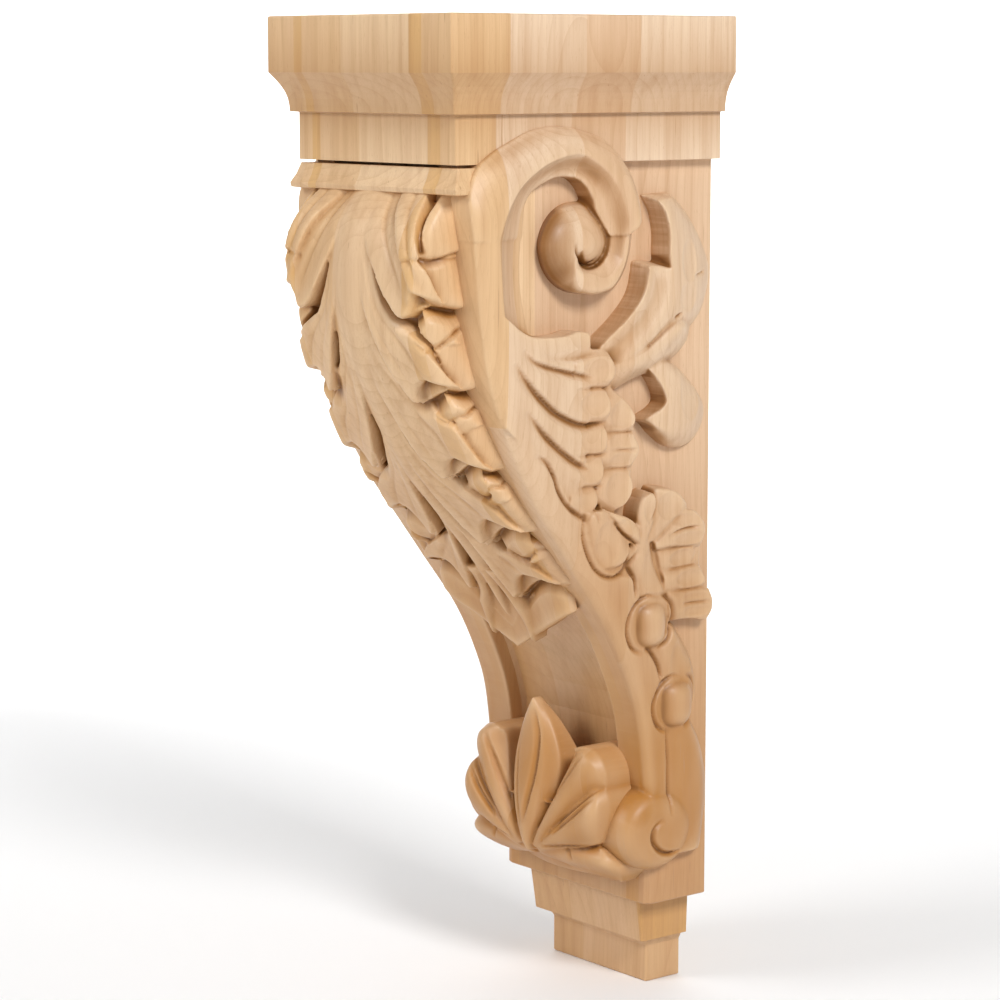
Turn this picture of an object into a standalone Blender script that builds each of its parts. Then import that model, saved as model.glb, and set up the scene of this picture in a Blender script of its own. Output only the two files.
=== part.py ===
"""Carved wooden corbel bracket, a glued-up block of pale hardwood carved with S-scrolls and acanthus.

The corbel hangs on a wall: its flat back lies in the plane Y = 0, its front looks along -Y and Z is up.
The origin is the middle of the back face. Sizes below are millimetres above the foot, and MM turns them
into metres. The right half is described at +X and mirrored.
"""
import math

import bmesh
import bpy
import numpy as np
from mathutils import Vector

MM = 0.001

# Driving sizes of the block.
HEIGHT = 559.0
CAP_HALF_WIDTH = 84.0
CAP_DEPTH = 200.5
SLAB_BOTTOM = 528.0
COVE_BOTTOM = 506.0
COVE_INSET = 8.5
COVE_HOLLOW = 2.4
BAND_INSET = 12.3
BAND_BOTTOM = 479.5
PANEL_HALF_WIDTH = 64.3
CHEEK_INNER = 48.0
FIELD_SINK = 11.0
BASE_TOP = 77.0
BASE_BOTTOM = 53.7
BASE_DEPTH = 45.5
BASE_CORNER = 6.0
MIDDLE_BOTTOM = 26.8
MIDDLE_HALF_WIDTH = 48.9
MIDDLE_DEPTH = 34.6
FOOT_HALF_WIDTH = 42.5
FOOT_DEPTH = 25.7
EASE = 0.8
# The drip moulding under the band: height above the foot, half width, depth; its ends stop against the scrolls.
DRIP_LEVELS = [(464.0, 73.0, 188.5), (464.5, 75.5, 191.2), (467.0, 76.0, 191.7), (472.0, 73.5, 189.0),
               (478.2, 71.8, 186.8)]
DRIP_BACK = 160.0
PANEL_LEVELS = 22
COVE_STEPS = 6
# Ledges on the underside lean up by this much towards their rim.
LEDGE_FALL = 0.4
# How far the scroll stands proud of the side panel, by the foot and at the volute.
LOW_RELIEF = 9.2
HIGH_RELIEF = 18.7
RELIEF_RISE = (150, 400)
# The leaves on the side were traced along a slanting line of sight, in heights where the scroll stands at
# SCROLL_LEVEL; TRACE_SHIFT and TRACE_SLANT turn those tracings square to the panel.
SCROLL_LEVEL = 9.4
TRACE_SHIFT = 6.9
TRACE_SLANT = 0.9
# The carving stops this far short of the wall.
WALL_GAP = 0.6

# The front edge of the scroll rims in side view: height above the foot, distance from the wall.
RIM_FRONT = [
    (110, 50), (130, 54.3), (145, 54.4), (157, 55.5), (177, 60.8), (199, 70), (220, 81.8), (246, 101.1),
    (270, 118.4), (290, 133.6), (310, 146.2), (327, 155.5), (350, 166), (375, 173.7), (400, 177.5), (420, 179.5),
    (440, 181.5), (460, 183), (480, 183),
]
# The middle of the front leaf in side view: height above the foot, distance from the wall.
LEAF_FRONT = [
    (200, 74), (215, 84), (225, 92), (240, 104), (260, 121), (280, 139), (300, 157), (320, 172), (340, 183),
    (360, 193), (380, 201), (400, 205.5), (420, 206), (440, 203), (455, 199), (470, 195),
]
# The palmette in side view, and how far it curves back towards its sides.
PALMETTE_BULGE = 11.0
PALMETTE_FRONT = [(60, 58), (68, 66), (80, 77), (90, 81), (110, 81.5), (130, 79), (150, 77.5), (175, 77)]

# How fine the carving is.
CARVING_VOXEL = 1.6
CARVING_KEEP = 0.024
WOOD = (0.72, 0.50, 0.30)


def curve(points, count):
    """Points along a smooth curve through all the rows of a list, spaced evenly in their own order."""
    rows = np.array(points, float)
    ends = np.vstack([2 * rows[0] - rows[1], rows, 2 * rows[-1] - rows[-2]])
    steps = np.linspace(0, len(rows) - 1, count)
    first = np.minimum(steps.astype(int), len(rows) - 2)
    t = (steps - first)[:, None]
    a, b, c, d = (ends[first + k] for k in range(4))
    return 0.5 * (2 * b + (c - a) * t + (2 * a - 5 * b + 4 * c - d) * t**2 + (3 * b - a - 3 * c + d) * t**3)


def even(points, count=65):
    """The same curve with its points spaced evenly by length."""
    fine = curve(points, 12 * len(points))
    length = np.concatenate([[0], np.cumsum(np.linalg.norm(np.diff(fine, axis=0), axis=1))])
    wanted = np.linspace(0, length[-1], count)
    return np.stack([np.interp(wanted, length, fine[:, k]) for k in range(fine.shape[1])], -1)


FINE = {id(p): curve(p, 200) for p in (RIM_FRONT, LEAF_FRONT, PALMETTE_FRONT)}


def depth_at(profile, z):
    """Distance from the wall of a side-view profile at a height."""
    table = FINE[id(profile)]
    return float(np.interp(z, table[:, 0], table[:, 1]))


def smooth(value, low, high):
    """0 below low, 1 above high and a soft ramp between."""
    t = min(1.0, max(0.0, (value - low) / (high - low)))
    return t * t * (3 - 2 * t)


def relief(z):
    """How far the scroll stands proud of the side panel at a height."""
    return LOW_RELIEF + (HIGH_RELIEF - LOW_RELIEF) * smooth(z, *RELIEF_RISE)


def rim_front(z):
    """Distance from the wall of the scroll's front face at a height."""
    return depth_at(RIM_FRONT, z)


def flat_chart(y, z, height):
    """A post on the right side panel."""
    return Vector((PANEL_HALF_WIDTH, y, z)), Vector((1, 0, 0)), height


def side_chart(y, z, level):
    """A post on the right side for a traced place: its foot on the panel, its way out and its height."""
    height = level * relief(z) / SCROLL_LEVEL
    y = min(y + TRACE_SHIFT - TRACE_SLANT * height, -WALL_GAP)
    return Vector((PANEL_HALF_WIDTH, y, z)), Vector((1, 0, 0)), height


def outward(profile, z):
    """Unit vector that leaves a side-view profile square to it, as (y, z)."""
    slope = (depth_at(profile, z + 4) - depth_at(profile, z - 4)) / 8
    length = math.hypot(1, slope)
    return -1 / length, -slope / length


def leaf_chart(x, z, height):
    """A post on the front leaf's nominal surface."""
    return Vector((x, -depth_at(LEAF_FRONT, z), z)), Vector((0, *outward(LEAF_FRONT, z))), height


def palmette_chart(x, z, height):
    """A post on the bulging palmette at the foot of the front."""
    bulge = PALMETTE_BULGE * (x / PANEL_HALF_WIDTH) ** 2
    return Vector((x, bulge - depth_at(PALMETTE_FRONT, z), z)), Vector((0, -1, 0)), height


def crown(across, square=2.2):
    """Height of a pillow section, 1 in the middle and 0 at both edges."""
    return max(0.0, 1 - abs(across) ** square) ** (1 / square)


def solid(bm, rows, cols, place, low):
    """One closed body between a curved sheet and its underside.

    place(along, across) gives the post that carries each point of the sheet: foot, way out and height.
    low(along) is the height of the underside on the same post.
    """
    verts = bmesh.ops.create_grid(bm, x_segments=cols, y_segments=rows, size=1.0)["verts"]
    faces = list({face for vert in verts for face in vert.link_faces})
    raised = bmesh.ops.extrude_face_region(bm, geom=faces)["geom"]
    raised = [item for item in raised if isinstance(item, bmesh.types.BMVert)]
    for group, buried in ((raised, False), (verts, True)):
        for vert in group:
            along, across = (vert.co.y + 1) / 2, (vert.co.x + 1) / 2
            foot, out, height = place(along, across)
            vert.co = (foot + out * (low(along) if buried else height)) * MM
    body = {face for vert in verts + raised for face in vert.link_faces}
    bmesh.ops.recalc_face_normals(bm, faces=list(body))


def strip(bm, chart, left, right, root, tip=None, low=(-8.0, -8.0), fall=(0.0, 0.12), swell=0.1, rows=20,
          cols=10, slit=0.0, mirror=1):
    """A carved surface between two traced edges, closed underneath.

    root and tip are its heights from the left edge to the right one, where it starts and where it ends; an
    edge may carry heights of its own as well. fall is the share of its length that rounds down at either
    end, and slit a groove along its middle.
    """
    lines = np.linspace(0, 1, 65)
    first, second = even(left), even(right)
    start, finish = (curve(list(enumerate(heights)), len(lines))[:, 1] for heights in (root, tip or root))

    def place(along, across):
        u = along * (1 - swell * (2 * across - 1) ** 2 * along)
        p, q = (np.interp(u, lines, first[:, k]) * (1 - across) + np.interp(u, lines, second[:, k]) * across
                for k in (0, 1))
        height = np.interp(across, lines, start) * (1 - along) + np.interp(across, lines, finish) * along
        if first.shape[1] > 2:
            height += np.interp(u, lines, first[:, 2]) * (1 - across) + np.interp(u, lines, second[:, 2]) * across
        if fall[0]:
            height *= crown(max(0.0, 1 - along / fall[0]))
        if fall[1]:
            height *= crown(max(0.0, 1 - (1 - along) / fall[1]))
        middle = slit * math.exp(-((across - 0.5) / 0.07) ** 2) * crown(2 * along - 1, 3)
        return chart(mirror * p, q, height - middle)

    solid(bm, rows, cols, place, lambda along: low[0] * (1 - along) + low[1] * along)


def boulder(bm, centre, radii, power=2.6, square=2.6, shear=0.0, steps=24):
    """A rounded lump with its own three radii.

    A higher square gives it a squarer plan, a higher power flatter top and bottom; shear leans it in depth.
    """
    ball = bmesh.ops.create_uvsphere(bm, u_segments=steps, v_segments=steps // 2, radius=1.0)["verts"]
    for vert in ball:
        level = (abs(vert.co.x) ** square + abs(vert.co.y) ** square) ** (power / square)
        size = (level + abs(vert.co.z) ** power) ** (-1 / power)
        x, y, z = (k * size * r for k, r in zip(vert.co, radii))
        vert.co = (centre + Vector((x, y + shear * z, z))) * MM


# The volute, traced: its centre, and the radius of the spiral's outer edge by turn in degrees, clockwise
# from the front.
VOLUTE_CENTRE = (-107.0, 436.0)
VOLUTE_EDGE = [
    (150, 46), (165, 43), (180, 40.5), (200, 39.5), (220, 38.6), (240, 33), (256, 29), (270, 27.6), (300, 27.3),
    (360, 27.3), (400, 25), (440, 22.8), (480, 22.5), (510, 24), (540, 25), (560, 22.5), (580, 19), (600, 15),
    (625, 8), (640, 3),
]
VOLUTE_RECESS = [(150, 27), (200, 24), (280, 14)]
EYE_OFFSET = 9.0


def at_turn(table, turn):
    """Reads a radius out of one of the volute's tables."""
    return float(np.interp(turn, [row[0] for row in table], [row[1] for row in table]))


def around(turn, radius):
    """A place in side view from a clockwise turn and a radius about the volute's centre."""
    angle = math.radians(180 - turn)
    return VOLUTE_CENTRE[0] + radius * math.cos(angle), VOLUTE_CENTRE[1] + radius * math.sin(angle)


def snail(bm, rows=72, cols=12):
    """The inner turn of the volute, which winds into a ball."""
    start, finish = 160, 640

    def place(along, across):
        turn = start + (finish - start) * along
        outer = at_turn(VOLUTE_EDGE, turn)
        inner = at_turn(VOLUTE_EDGE, turn + 360) if turn < 280 else 0.0
        inner = max(inner, at_turn(VOLUTE_RECESS, turn)) if turn < 200 else inner
        y, z = around(turn, inner + (outer - inner) * across)
        ball = smooth(turn, 240, 320)
        slope = (6.4 + 3.0 * across ** 1.5) * crown(across, 12)
        band = 8.9 * crown(2 * across - 1, 4)
        dome = (8.6 + 0.4 * smooth(turn, 400, 560)) * crown(across, 2.0)
        band = slope + (band - slope) * smooth(turn, 190, 250)
        return side_chart(y + EYE_OFFSET * ball * (1 - across), z, band + (dome - band) * ball)

    solid(bm, rows, cols, place, lambda along: -8.0)


# The scroll's band over the volute, as depth, height above the foot and height above the panel: its outer
# edge, its ridge and the foot or ledge of the hollow inside it.
BAND_EDGE = [
    (-182, 440, 15.2), (-184, 455, 14.5), (-183, 466, 12), (-176, 478, 10), (-166, 485.5, 9), (-154.6, 491, 8.5),
    (-138.8, 497.4, 8.5), (-122, 499.5, 8.5), (-106, 497.6, 9), (-86.6, 490.8, 10), (-72.5, 475.7, 12),
    (-66.5, 460, 14), (-65.8, 449, 15),
]
RIDGE = [
    (-167.8, 440, 18.7), (-161.8, 455, 18.7), (-152.8, 468, 18.7), (-138.8, 478, 18.7), (-125.8, 483, 18.7),
    (-112.8, 485, 18.7), (-102.8, 482, 18.7), (-90.8, 474, 18.7), (-81.8, 462, 18.7), (-77.8, 449, 18.7),
    (-77.3, 440, 18.7),
]
LEDGE = [
    (-137, 440, 0), (-136.5, 455, 0.6), (-133.8, 463.5, 2.5), (-126, 469.5, 5.5), (-118.3, 472.3, 8),
    (-109, 471.5, 10.5), (-102.6, 467, 12), (-98.2, 460, 13), (-97.2, 455, 13.4), (-93.8, 449, 13.6),
    (-87.2, 440, 14),
]
HOLLOW_FOOT = [(-120, 372, 0), (-131, 385, 0), (-137, 405, 0), (-139, 425, 0), (-137, 445, 0)]
# Height above the foot, and how far back the scroll's rounded edge reaches on the side.
RIM_WIDTH = [
    (112, 4.5), (157, 4.6), (182, 6.2), (214, 8.2), (246, 10.6), (275, 12), (296, 12.5), (330, 13), (365, 13),
    (400, 13), (445, 13.8),
]
# Where the scroll's flat flank ends at the husks, the pendant and the fan.
FLANK_EDGE = [
    (-37.5, 84), (-37.5, 120), (-37.5, 157), (-45, 163), (-48, 173), (-43, 188), (-46, 198), (-54, 206),
    (-62, 208), (-66, 218), (-63, 230), (-58, 236), (-61, 246), (-67, 250), (-78, 250), (-88, 256), (-95, 270),
    (-99, 284), (-109, 291), (-117, 302), (-122, 312), (-130, 319), (-138, 322),
]


FLANK_LEVEL = 9.3
# The ground that fills the joints between husks, pendant and flank.
UNDER_EDGE = [(-28, 84), (-28, 160), (-30, 200), (-45, 240), (-70, 262), (-90, 285), (-110, 310), (-128, 330)]
UNDER_LEVEL = 7.4
# How deep the scroll's own solids reach into the block.
PANEL_BURIED = PANEL_HALF_WIDTH - CHEEK_INNER


def traced(points, level):
    """Side tracings turned into depth, height above the foot and height above the panel."""
    return [(y + TRACE_SHIFT - TRACE_SLANT * h, z, h)
            for y, z in points for h in (level * relief(z) / SCROLL_LEVEL,)]


def rim(bm):
    """The S-scroll's outer band, from the roll at the foot up and over the volute."""
    front = [(-rim_front(z), z, relief(z) - 4.5) for z, _ in RIM_WIDTH]
    rear = [(width - rim_front(z), z, relief(z)) for z, width in RIM_WIDTH]
    lower, upper = rear[:8], rear[8:]
    rounded = [0, 1.3, 1.4, 0.8, 0]
    level = [0, 0, 0]
    for left, right, start, finish in (
        (front, rear, rounded, rounded),
        (BAND_EDGE, RIDGE, rounded, [0, 3.0, 4.0, 2.5, 0]),
        (RIDGE, LEDGE, [0, -2.4, -3.2, -2.2, 0], [0, -1.0, -1.4, -1.0, 0]),
        (upper, HOLLOW_FOOT, [0, -3.5, -4.5, -3.2, 0], [0, -3.0, -3.8, -2.8, 0]),
        (lower, traced(FLANK_EDGE, FLANK_LEVEL), level, level),
        (lower, traced(UNDER_EDGE, UNDER_LEVEL), level, level),
    ):
        strip(bm, flat_chart, left, right, start, finish, low=(-PANEL_BURIED, -PANEL_BURIED), fall=(0, 0),
              swell=0, rows=64, cols=10)


def side_leaves(bm):
    """The fan that springs from the rim, the curling leaves behind it and the shell below."""
    def leaf(left, right, root, tip=None, **options):
        strip(bm, side_chart, left, right, root, tip, **options)

    # Fan, top to bottom; every lobe leaves the rim flush and parts from its neighbour by a groove.
    flush = [9.2, 9.4, 9.4, 9.4, 9.2]
    pad = [6.0, 8.4, 9.0, 8.4, 6.0]
    leaf([(-160, 420), (-151, 403), (-139, 392), (-125, 387), (-108, 391), (-94, 389), (-85, 380)],
         [(-160, 378), (-141, 381), (-126, 372), (-110, 368), (-94, 367), (-84, 371)],
         [9.4, 9.4, 9.4, 9.4, 9.2], [0.5, 7.6, 8.8, 8.4, 6.5], fall=(0, 0.1), rows=28)
    leaf([(-160, 384), (-141, 380), (-126, 371), (-110, 366), (-93, 363), (-76, 368)],
         [(-160, 366), (-147, 373), (-132, 357), (-116, 348), (-99, 350), (-74, 352)], flush, pad, fall=(0, 0.1))
    leaf([(-122, 354), (-106, 356), (-92, 359), (-80, 354)],
         [(-122, 348), (-106, 341), (-92, 338), (-80, 344)], [8.2, 8.6, 8.8, 8.6, 8.2], [6, 8.6, 9, 8.6, 6], slit=-1)
    leaf([(-160, 370), (-146, 371), (-132, 355), (-117, 345), (-101, 339), (-84, 337)],
         [(-154, 356), (-142, 350), (-130, 336), (-117, 325), (-102, 322), (-82, 323)], flush, pad)
    leaf([(-154, 358), (-140, 346), (-126, 332), (-111, 322), (-97, 322), (-83, 319)],
         [(-148, 344), (-136, 341), (-122, 326), (-108, 315), (-98, 308), (-87, 306)], flush, pad)
    leaf([(-148, 346), (-136, 340), (-122, 325), (-108, 313), (-98, 307), (-86, 302)],
         [(-139, 322), (-128, 318), (-120, 308), (-112, 295), (-104, 287), (-93, 284)], flush, pad)
    # Fan: the rounded tips of the layer behind.
    for left, right in (
        ([(-92, 349), (-74, 349), (-58, 344)], [(-92, 330), (-74, 331), (-60, 329)]),
        ([(-90, 331), (-72, 331), (-57, 328)], [(-90, 321), (-72, 321), (-59, 320)]),
        ([(-90, 320.5), (-72, 321), (-58, 320)], [(-90, 312), (-72, 311), (-62, 310)]),
        ([(-94, 311), (-76, 311), (-61, 307)], [(-90, 292), (-76, 287.5), (-65, 290)]),
    ):
        leaf(left, right, [5.5, 7.6, 8.2, 7.6, 5.5], fall=(0, 0.14), swell=0.08)
    # Pendant below the fan.
    leaf([(-103, 288), (-98, 278), (-93, 265), (-85, 254), (-75, 251)],
         [(-88, 290), (-80, 283), (-74, 276), (-67, 268), (-63, 260)], [7.5, 9.6, 10.4, 9.6, 7.5],
         [6, 9, 9.6, 9, 7])
    leaf([(-86, 290), (-78, 284), (-72, 276), (-66, 270), (-60, 264)],
         [(-74, 293), (-66, 288), (-60, 282), (-56, 275), (-53, 268)], [7.5, 9.6, 10, 9.6, 7.5])
    # Curling leaves between the volute and the wall.
    strip(bm, flat_chart, [(-60, 378, 14), (-45, 394, 16), (-42, 407, 16.7), (-45, 427, 16.7), (-43.5, 443, 16.7),
                           (-43.5, 456, 14)],
          [(-38, 372, 1.5), (-12, 390, 1.5), (-4, 406, 1.5), (-2.6, 419, 1.5), (-6.5, 430, 1.5), (-13, 441, 1.5),
           (-24, 455, 1.5)], [0, 1.6, 2.6, 2.0, 0], fall=(0, 0.06), swell=0, rows=28)
    strip(bm, flat_chart, [(-97, 377, 14.5), (-90, 383.5, 16), (-75, 395, 16.7), (-63.6, 408, 16.7),
                           (-59.5, 426, 16.7)],
          [(-84, 362, 14), (-72, 371, 15), (-51, 387, 15.7), (-41, 404, 15.7), (-40.5, 423, 15.7)],
          [0, -1.0, -2.0, -1.0, 0.6, 0], fall=(0, 0.05), swell=0.02, rows=28)
    leaf([(-84, 374), (-64, 377), (-50, 386), (-40, 393), (-28, 396)],
         [(-82, 353), (-64, 360), (-46, 364), (-30, 373), (-18, 385)], [6, 8, 8, 7, 4], [3, 7.5, 8.5, 6.5, 2],
         fall=(0, 0.12), swell=0.12)
    leaf([(-50, 364), (-42, 361), (-37, 354), (-37, 346), (-44, 341), (-55, 341)],
         [(-38, 373), (-24, 366), (-13, 350), (-10, 336), (-20, 321), (-40, 319), (-55, 326), (-62, 340)],
         [2, 6, 8, 6.5, 2], [1, 5, 7, 5, 0.5], fall=(0, 0.1), swell=0.0, rows=28)
    # Shell at mid height, beside the husk stems.
    for left, right, base in (
        ([(-60, 268), (-62, 282), (-60, 297)], [(-50, 268), (-46, 284), (-40, 298)], 9.4),
        ([(-50, 268), (-46, 284), (-38, 301)], [(-44, 266), (-32, 276), (-17, 285)], 8.6),
        ([(-46, 266), (-30, 277), (-13, 284)], [(-44, 262), (-24, 262), (-5, 262)], 9.0),
        ([(-44, 262), (-24, 261.5), (-7, 260)], [(-42, 254), (-24, 248), (-8, 243)], 8.4),
        ([(-42, 254), (-24, 247), (-8, 242)], [(-42, 238), (-26, 224), (-6, 216)], 9.0),
    ):
        heights = [base * share for share in (0.72, 0.94, 1.0, 0.94, 0.72)]
        leaf(left, right, heights, fall=(0, 0.16), swell=0.1)


# The beads: depth, height above the foot, radius.
BEADS = [(-57.5, 221, 14.5), (-39.5, 173, 14.5)]
BEAD_DEPTH = 9.0


def husks(bm):
    """Two beads and the three husk stems that run down the back of each side."""
    for left, right in (
        ([(-61, 266), (-65, 250), (-60, 240), (-56, 226)], [(-44, 284), (-36, 262), (-31, 240), (-30, 224)]),
        ([(-48, 212), (-45, 200), (-41.5, 190), (-38, 178)], [(-34, 226), (-20, 208), (-9, 190), (-7, 168)]),
        ([(-40, 176), (-36.3, 157), (-36.3, 120), (-36.3, 84)], [(-14, 176), (-6, 150), (-1, 122), (-3, 84)]),
    ):
        strip(bm, side_chart, left, right, [8.6, 10.2, 10.6, 9.4, 2.0], fall=(0.1, 0), swell=0)
    for y, z, radius in BEADS:
        centre = Vector((PANEL_HALF_WIDTH + relief(z) - BEAD_DEPTH / 2, y, z))
        boulder(bm, centre, (BEAD_DEPTH, radius, radius - 0.5), power=3.2)


ROLL_CENTRE = (-40.0, 101.5)
ROLL_RADIUS = 24.5
ROLL_MIDDLE = 50.0
ROLL_HALF_LENGTH = 26.5


def roll(bm):
    """The roll at the foot of the scroll, with its curl on the side."""
    ring = bmesh.ops.create_uvsphere(bm, u_segments=40, v_segments=32, radius=1.0)["verts"]
    for vert in ring:
        power = 4.5
        radial = math.hypot(vert.co.x, vert.co.y)
        size = (radial ** power + abs(vert.co.z) ** power) ** (-1 / power)
        vert.co = Vector((ROLL_MIDDLE + ROLL_HALF_LENGTH * vert.co.z * size,
                          ROLL_CENTRE[0] + ROLL_RADIUS * vert.co.x * size,
                          ROLL_CENTRE[1] + ROLL_RADIUS * vert.co.y * size)) * MM
    hub = Vector((ROLL_MIDDLE + ROLL_HALF_LENGTH - 1.5, ROLL_CENTRE[0] + 5, ROLL_CENTRE[1] + 2))
    boulder(bm, hub, (3.5, 11, 11), power=2.6)


# Leaflets of the front leaf, from the top: the lower edge of each from the midrib out to its notch.
LEAF_EDGES = [
    [(17, 472), (26, 471), (38, 470), (48, 470)],
    [(12, 452), (16, 435), (26, 418), (38, 404), (49, 407)],
    [(17, 396), (20, 384), (26, 368), (37, 357), (49, 362)],
    [(13, 352), (14, 336), (21, 320), (35, 310), (50, 319)],
    [(11, 312), (14, 298), (20, 284), (33, 271), (52, 281)],
    [(9, 264), (14, 250), (22, 238), (35, 232), (52, 247)],
]
# Pads along the margin: top and bottom height, distance from the wall.
LEAF_PADS = [
    (467, 428, 206), (431, 405, 206), (402, 388, 195), (390, 361, 197), (358, 345, 177), (347, 317, 178),
    (315, 303, 155), (305, 278, 152), (274, 261, 128), (264, 243, 120),
]
PAD_MIDDLE = 45.0
PAD_REACH = 17.0


def front_leaf(bm):
    """The acanthus leaf that hangs under the drip moulding: core, midrib, leaflets and the pads at its margin."""
    strip(bm, leaf_chart, [(-38, 470), (-42, 400), (-44, 320), (-42, 260), (-24, 224)],
          [(38, 470), (42, 400), (44, 320), (42, 260), (24, 224)], [-8, -6, -5, -6, -8], low=(-42, -42), rows=24)
    strip(bm, leaf_chart, [(-15, 470), (-16, 430), (-15, 380), (-12, 320), (-9, 260), (-6, 214)],
          [(15, 470), (16, 430), (15, 380), (12, 320), (9, 260), (6, 214)], [0, 1.6, 2, 1.6, 0], low=(-14, -14),
          rows=30)
    for mirror in (1, -1):
        for number, (upper, lower) in enumerate(zip(LEAF_EDGES, LEAF_EDGES[1:])):
            tuck = -4 if number else 1
            strip(bm, leaf_chart, upper, lower, [0, 0.6, 1, 1, 0.6], [tuck, tuck * 0.2, 1.2, 2.2, 1.8],
                  low=(-10, -14), fall=(0, 0.1), swell=0, mirror=mirror, rows=16)
        for high, low, deep in LEAF_PADS:
            middle = (high + low) / 2
            base = rim_front(middle) - 10
            slope = (depth_at(LEAF_FRONT, middle + 10) - depth_at(LEAF_FRONT, middle - 10)) / 20
            boulder(bm, Vector((mirror * PAD_MIDDLE, -base, middle)), (PAD_REACH, deep - base, (high - low) / 2 + 1),
                    power=2.8, square=5.5, shear=-slope)
        strip(bm, leaf_chart, [(2, 264), (12, 254), (30, 250), (50, 254)],
              [(2, 210), (14, 209), (34, 214), (50, 224)], [-2, -1, -2, -3, -8], [0, 3, 3, 1, -6], low=(-26, -26),
              swell=0, mirror=mirror)


def palmette(bm):
    """The shell of lobes at the foot of the front."""
    for mirror in (1, -1):
        for left, right, root, tip, low, slit in (
            ([(4, 84), (19, 110), (29, 134), (34, 150)], [(9, 82), (30, 102), (45, 120), (54, 140)],
             [0, 2, 2, 2, 0], [-5, 1, 4, 2, -6], (-30, -30), 1.5),
            ([(8, 83), (30, 102), (50, 119), (68, 127)], [(10, 79), (34, 90), (54, 95), (72, 98)],
             [0, 2, 2, 2, 0], [-2, 5, 8, 7, 2], (-30, -30), 1.5),
            ([(3, 80), (22, 84), (42, 87), (66, 90)], [(5, 66), (24, 64), (46, 66), (72, 74)],
             [0, 1, 2, 1, -3], [-2, 4, 7, 5, 0], (-26, -26), 0.0),
        ):
            strip(bm, palmette_chart, left, right, root, tip, low=low, slit=slit, swell=0.12, mirror=mirror)
    strip(bm, palmette_chart, [(-4, 80), (-16, 108), (-20, 132), (-12, 155), (0, 170)],
          [(4, 80), (16, 108), (20, 132), (12, 155), (1, 170)], [-6, 1, 3, 4, 3, 1, -6], [-4, 0, 1, 1, 1, 0, -4],
          low=(-44, -6), swell=0, slit=1.5, fall=(0, 0))
    strip(bm, palmette_chart, [(-50, 66), (-52, 90), (-48, 112)], [(50, 66), (52, 90), (48, 112)],
          [-14, -9, -7, -9, -14], low=(-44, -44))


def plan(z, half, depth, corner, sink=0.0, ends=None, corner_steps=3):
    """A plan outline of the block at a height, with rounded front corners and a sunk field between cheeks.

    ends is the half width behind DRIP_BACK where it differs from that in front.
    """
    behind = ends or half
    right = [(behind, 0), (behind, -DRIP_BACK), (half, -DRIP_BACK)]
    if depth < DRIP_BACK:
        right[1:] = [(half, -depth / 2), (half, -depth / 2)]
    for k in range(corner_steps + 1):
        angle = math.pi / 2 * k / corner_steps
        right.append((half - corner + corner * math.cos(angle), -depth + corner - corner * math.sin(angle)))
    inner = min(CHEEK_INNER, half - corner - 1)
    right += [(inner, -depth), (inner - 0.5, -depth + sink * 0.75), (inner - 3, -depth + sink)]
    left = [(-x, y) for x, y in reversed(right)]
    return [Vector((x, y, z)) * MM for x, y in right + left]


def stack(bm, outlines):
    """Closes a body through a stack of outlines with the same number of points."""
    face = bm.faces.new([bm.verts.new(co) for co in outlines[0]])
    for number, outline in enumerate(outlines[1:]):
        raised = bmesh.ops.extrude_face_region(bm, geom=[face])["geom"]
        if number:
            bmesh.ops.delete(bm, geom=[face], context="FACES_ONLY")
        face = next(item for item in raised if isinstance(item, bmesh.types.BMFace))
        for vert, co in zip(face.verts, outline):
            vert.co = co
    bmesh.ops.remove_doubles(bm, verts=bm.verts, dist=0.0001 * MM)
    bmesh.ops.recalc_face_normals(bm, faces=bm.faces)


def panel_outline(z):
    """The side panels, the cheeks behind the scrolls and the sunk field at a height."""
    return plan(z, PANEL_HALF_WIDTH, rim_front(max(z, 112)) - 2, 1.0, FIELD_SINK - 2)


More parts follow.
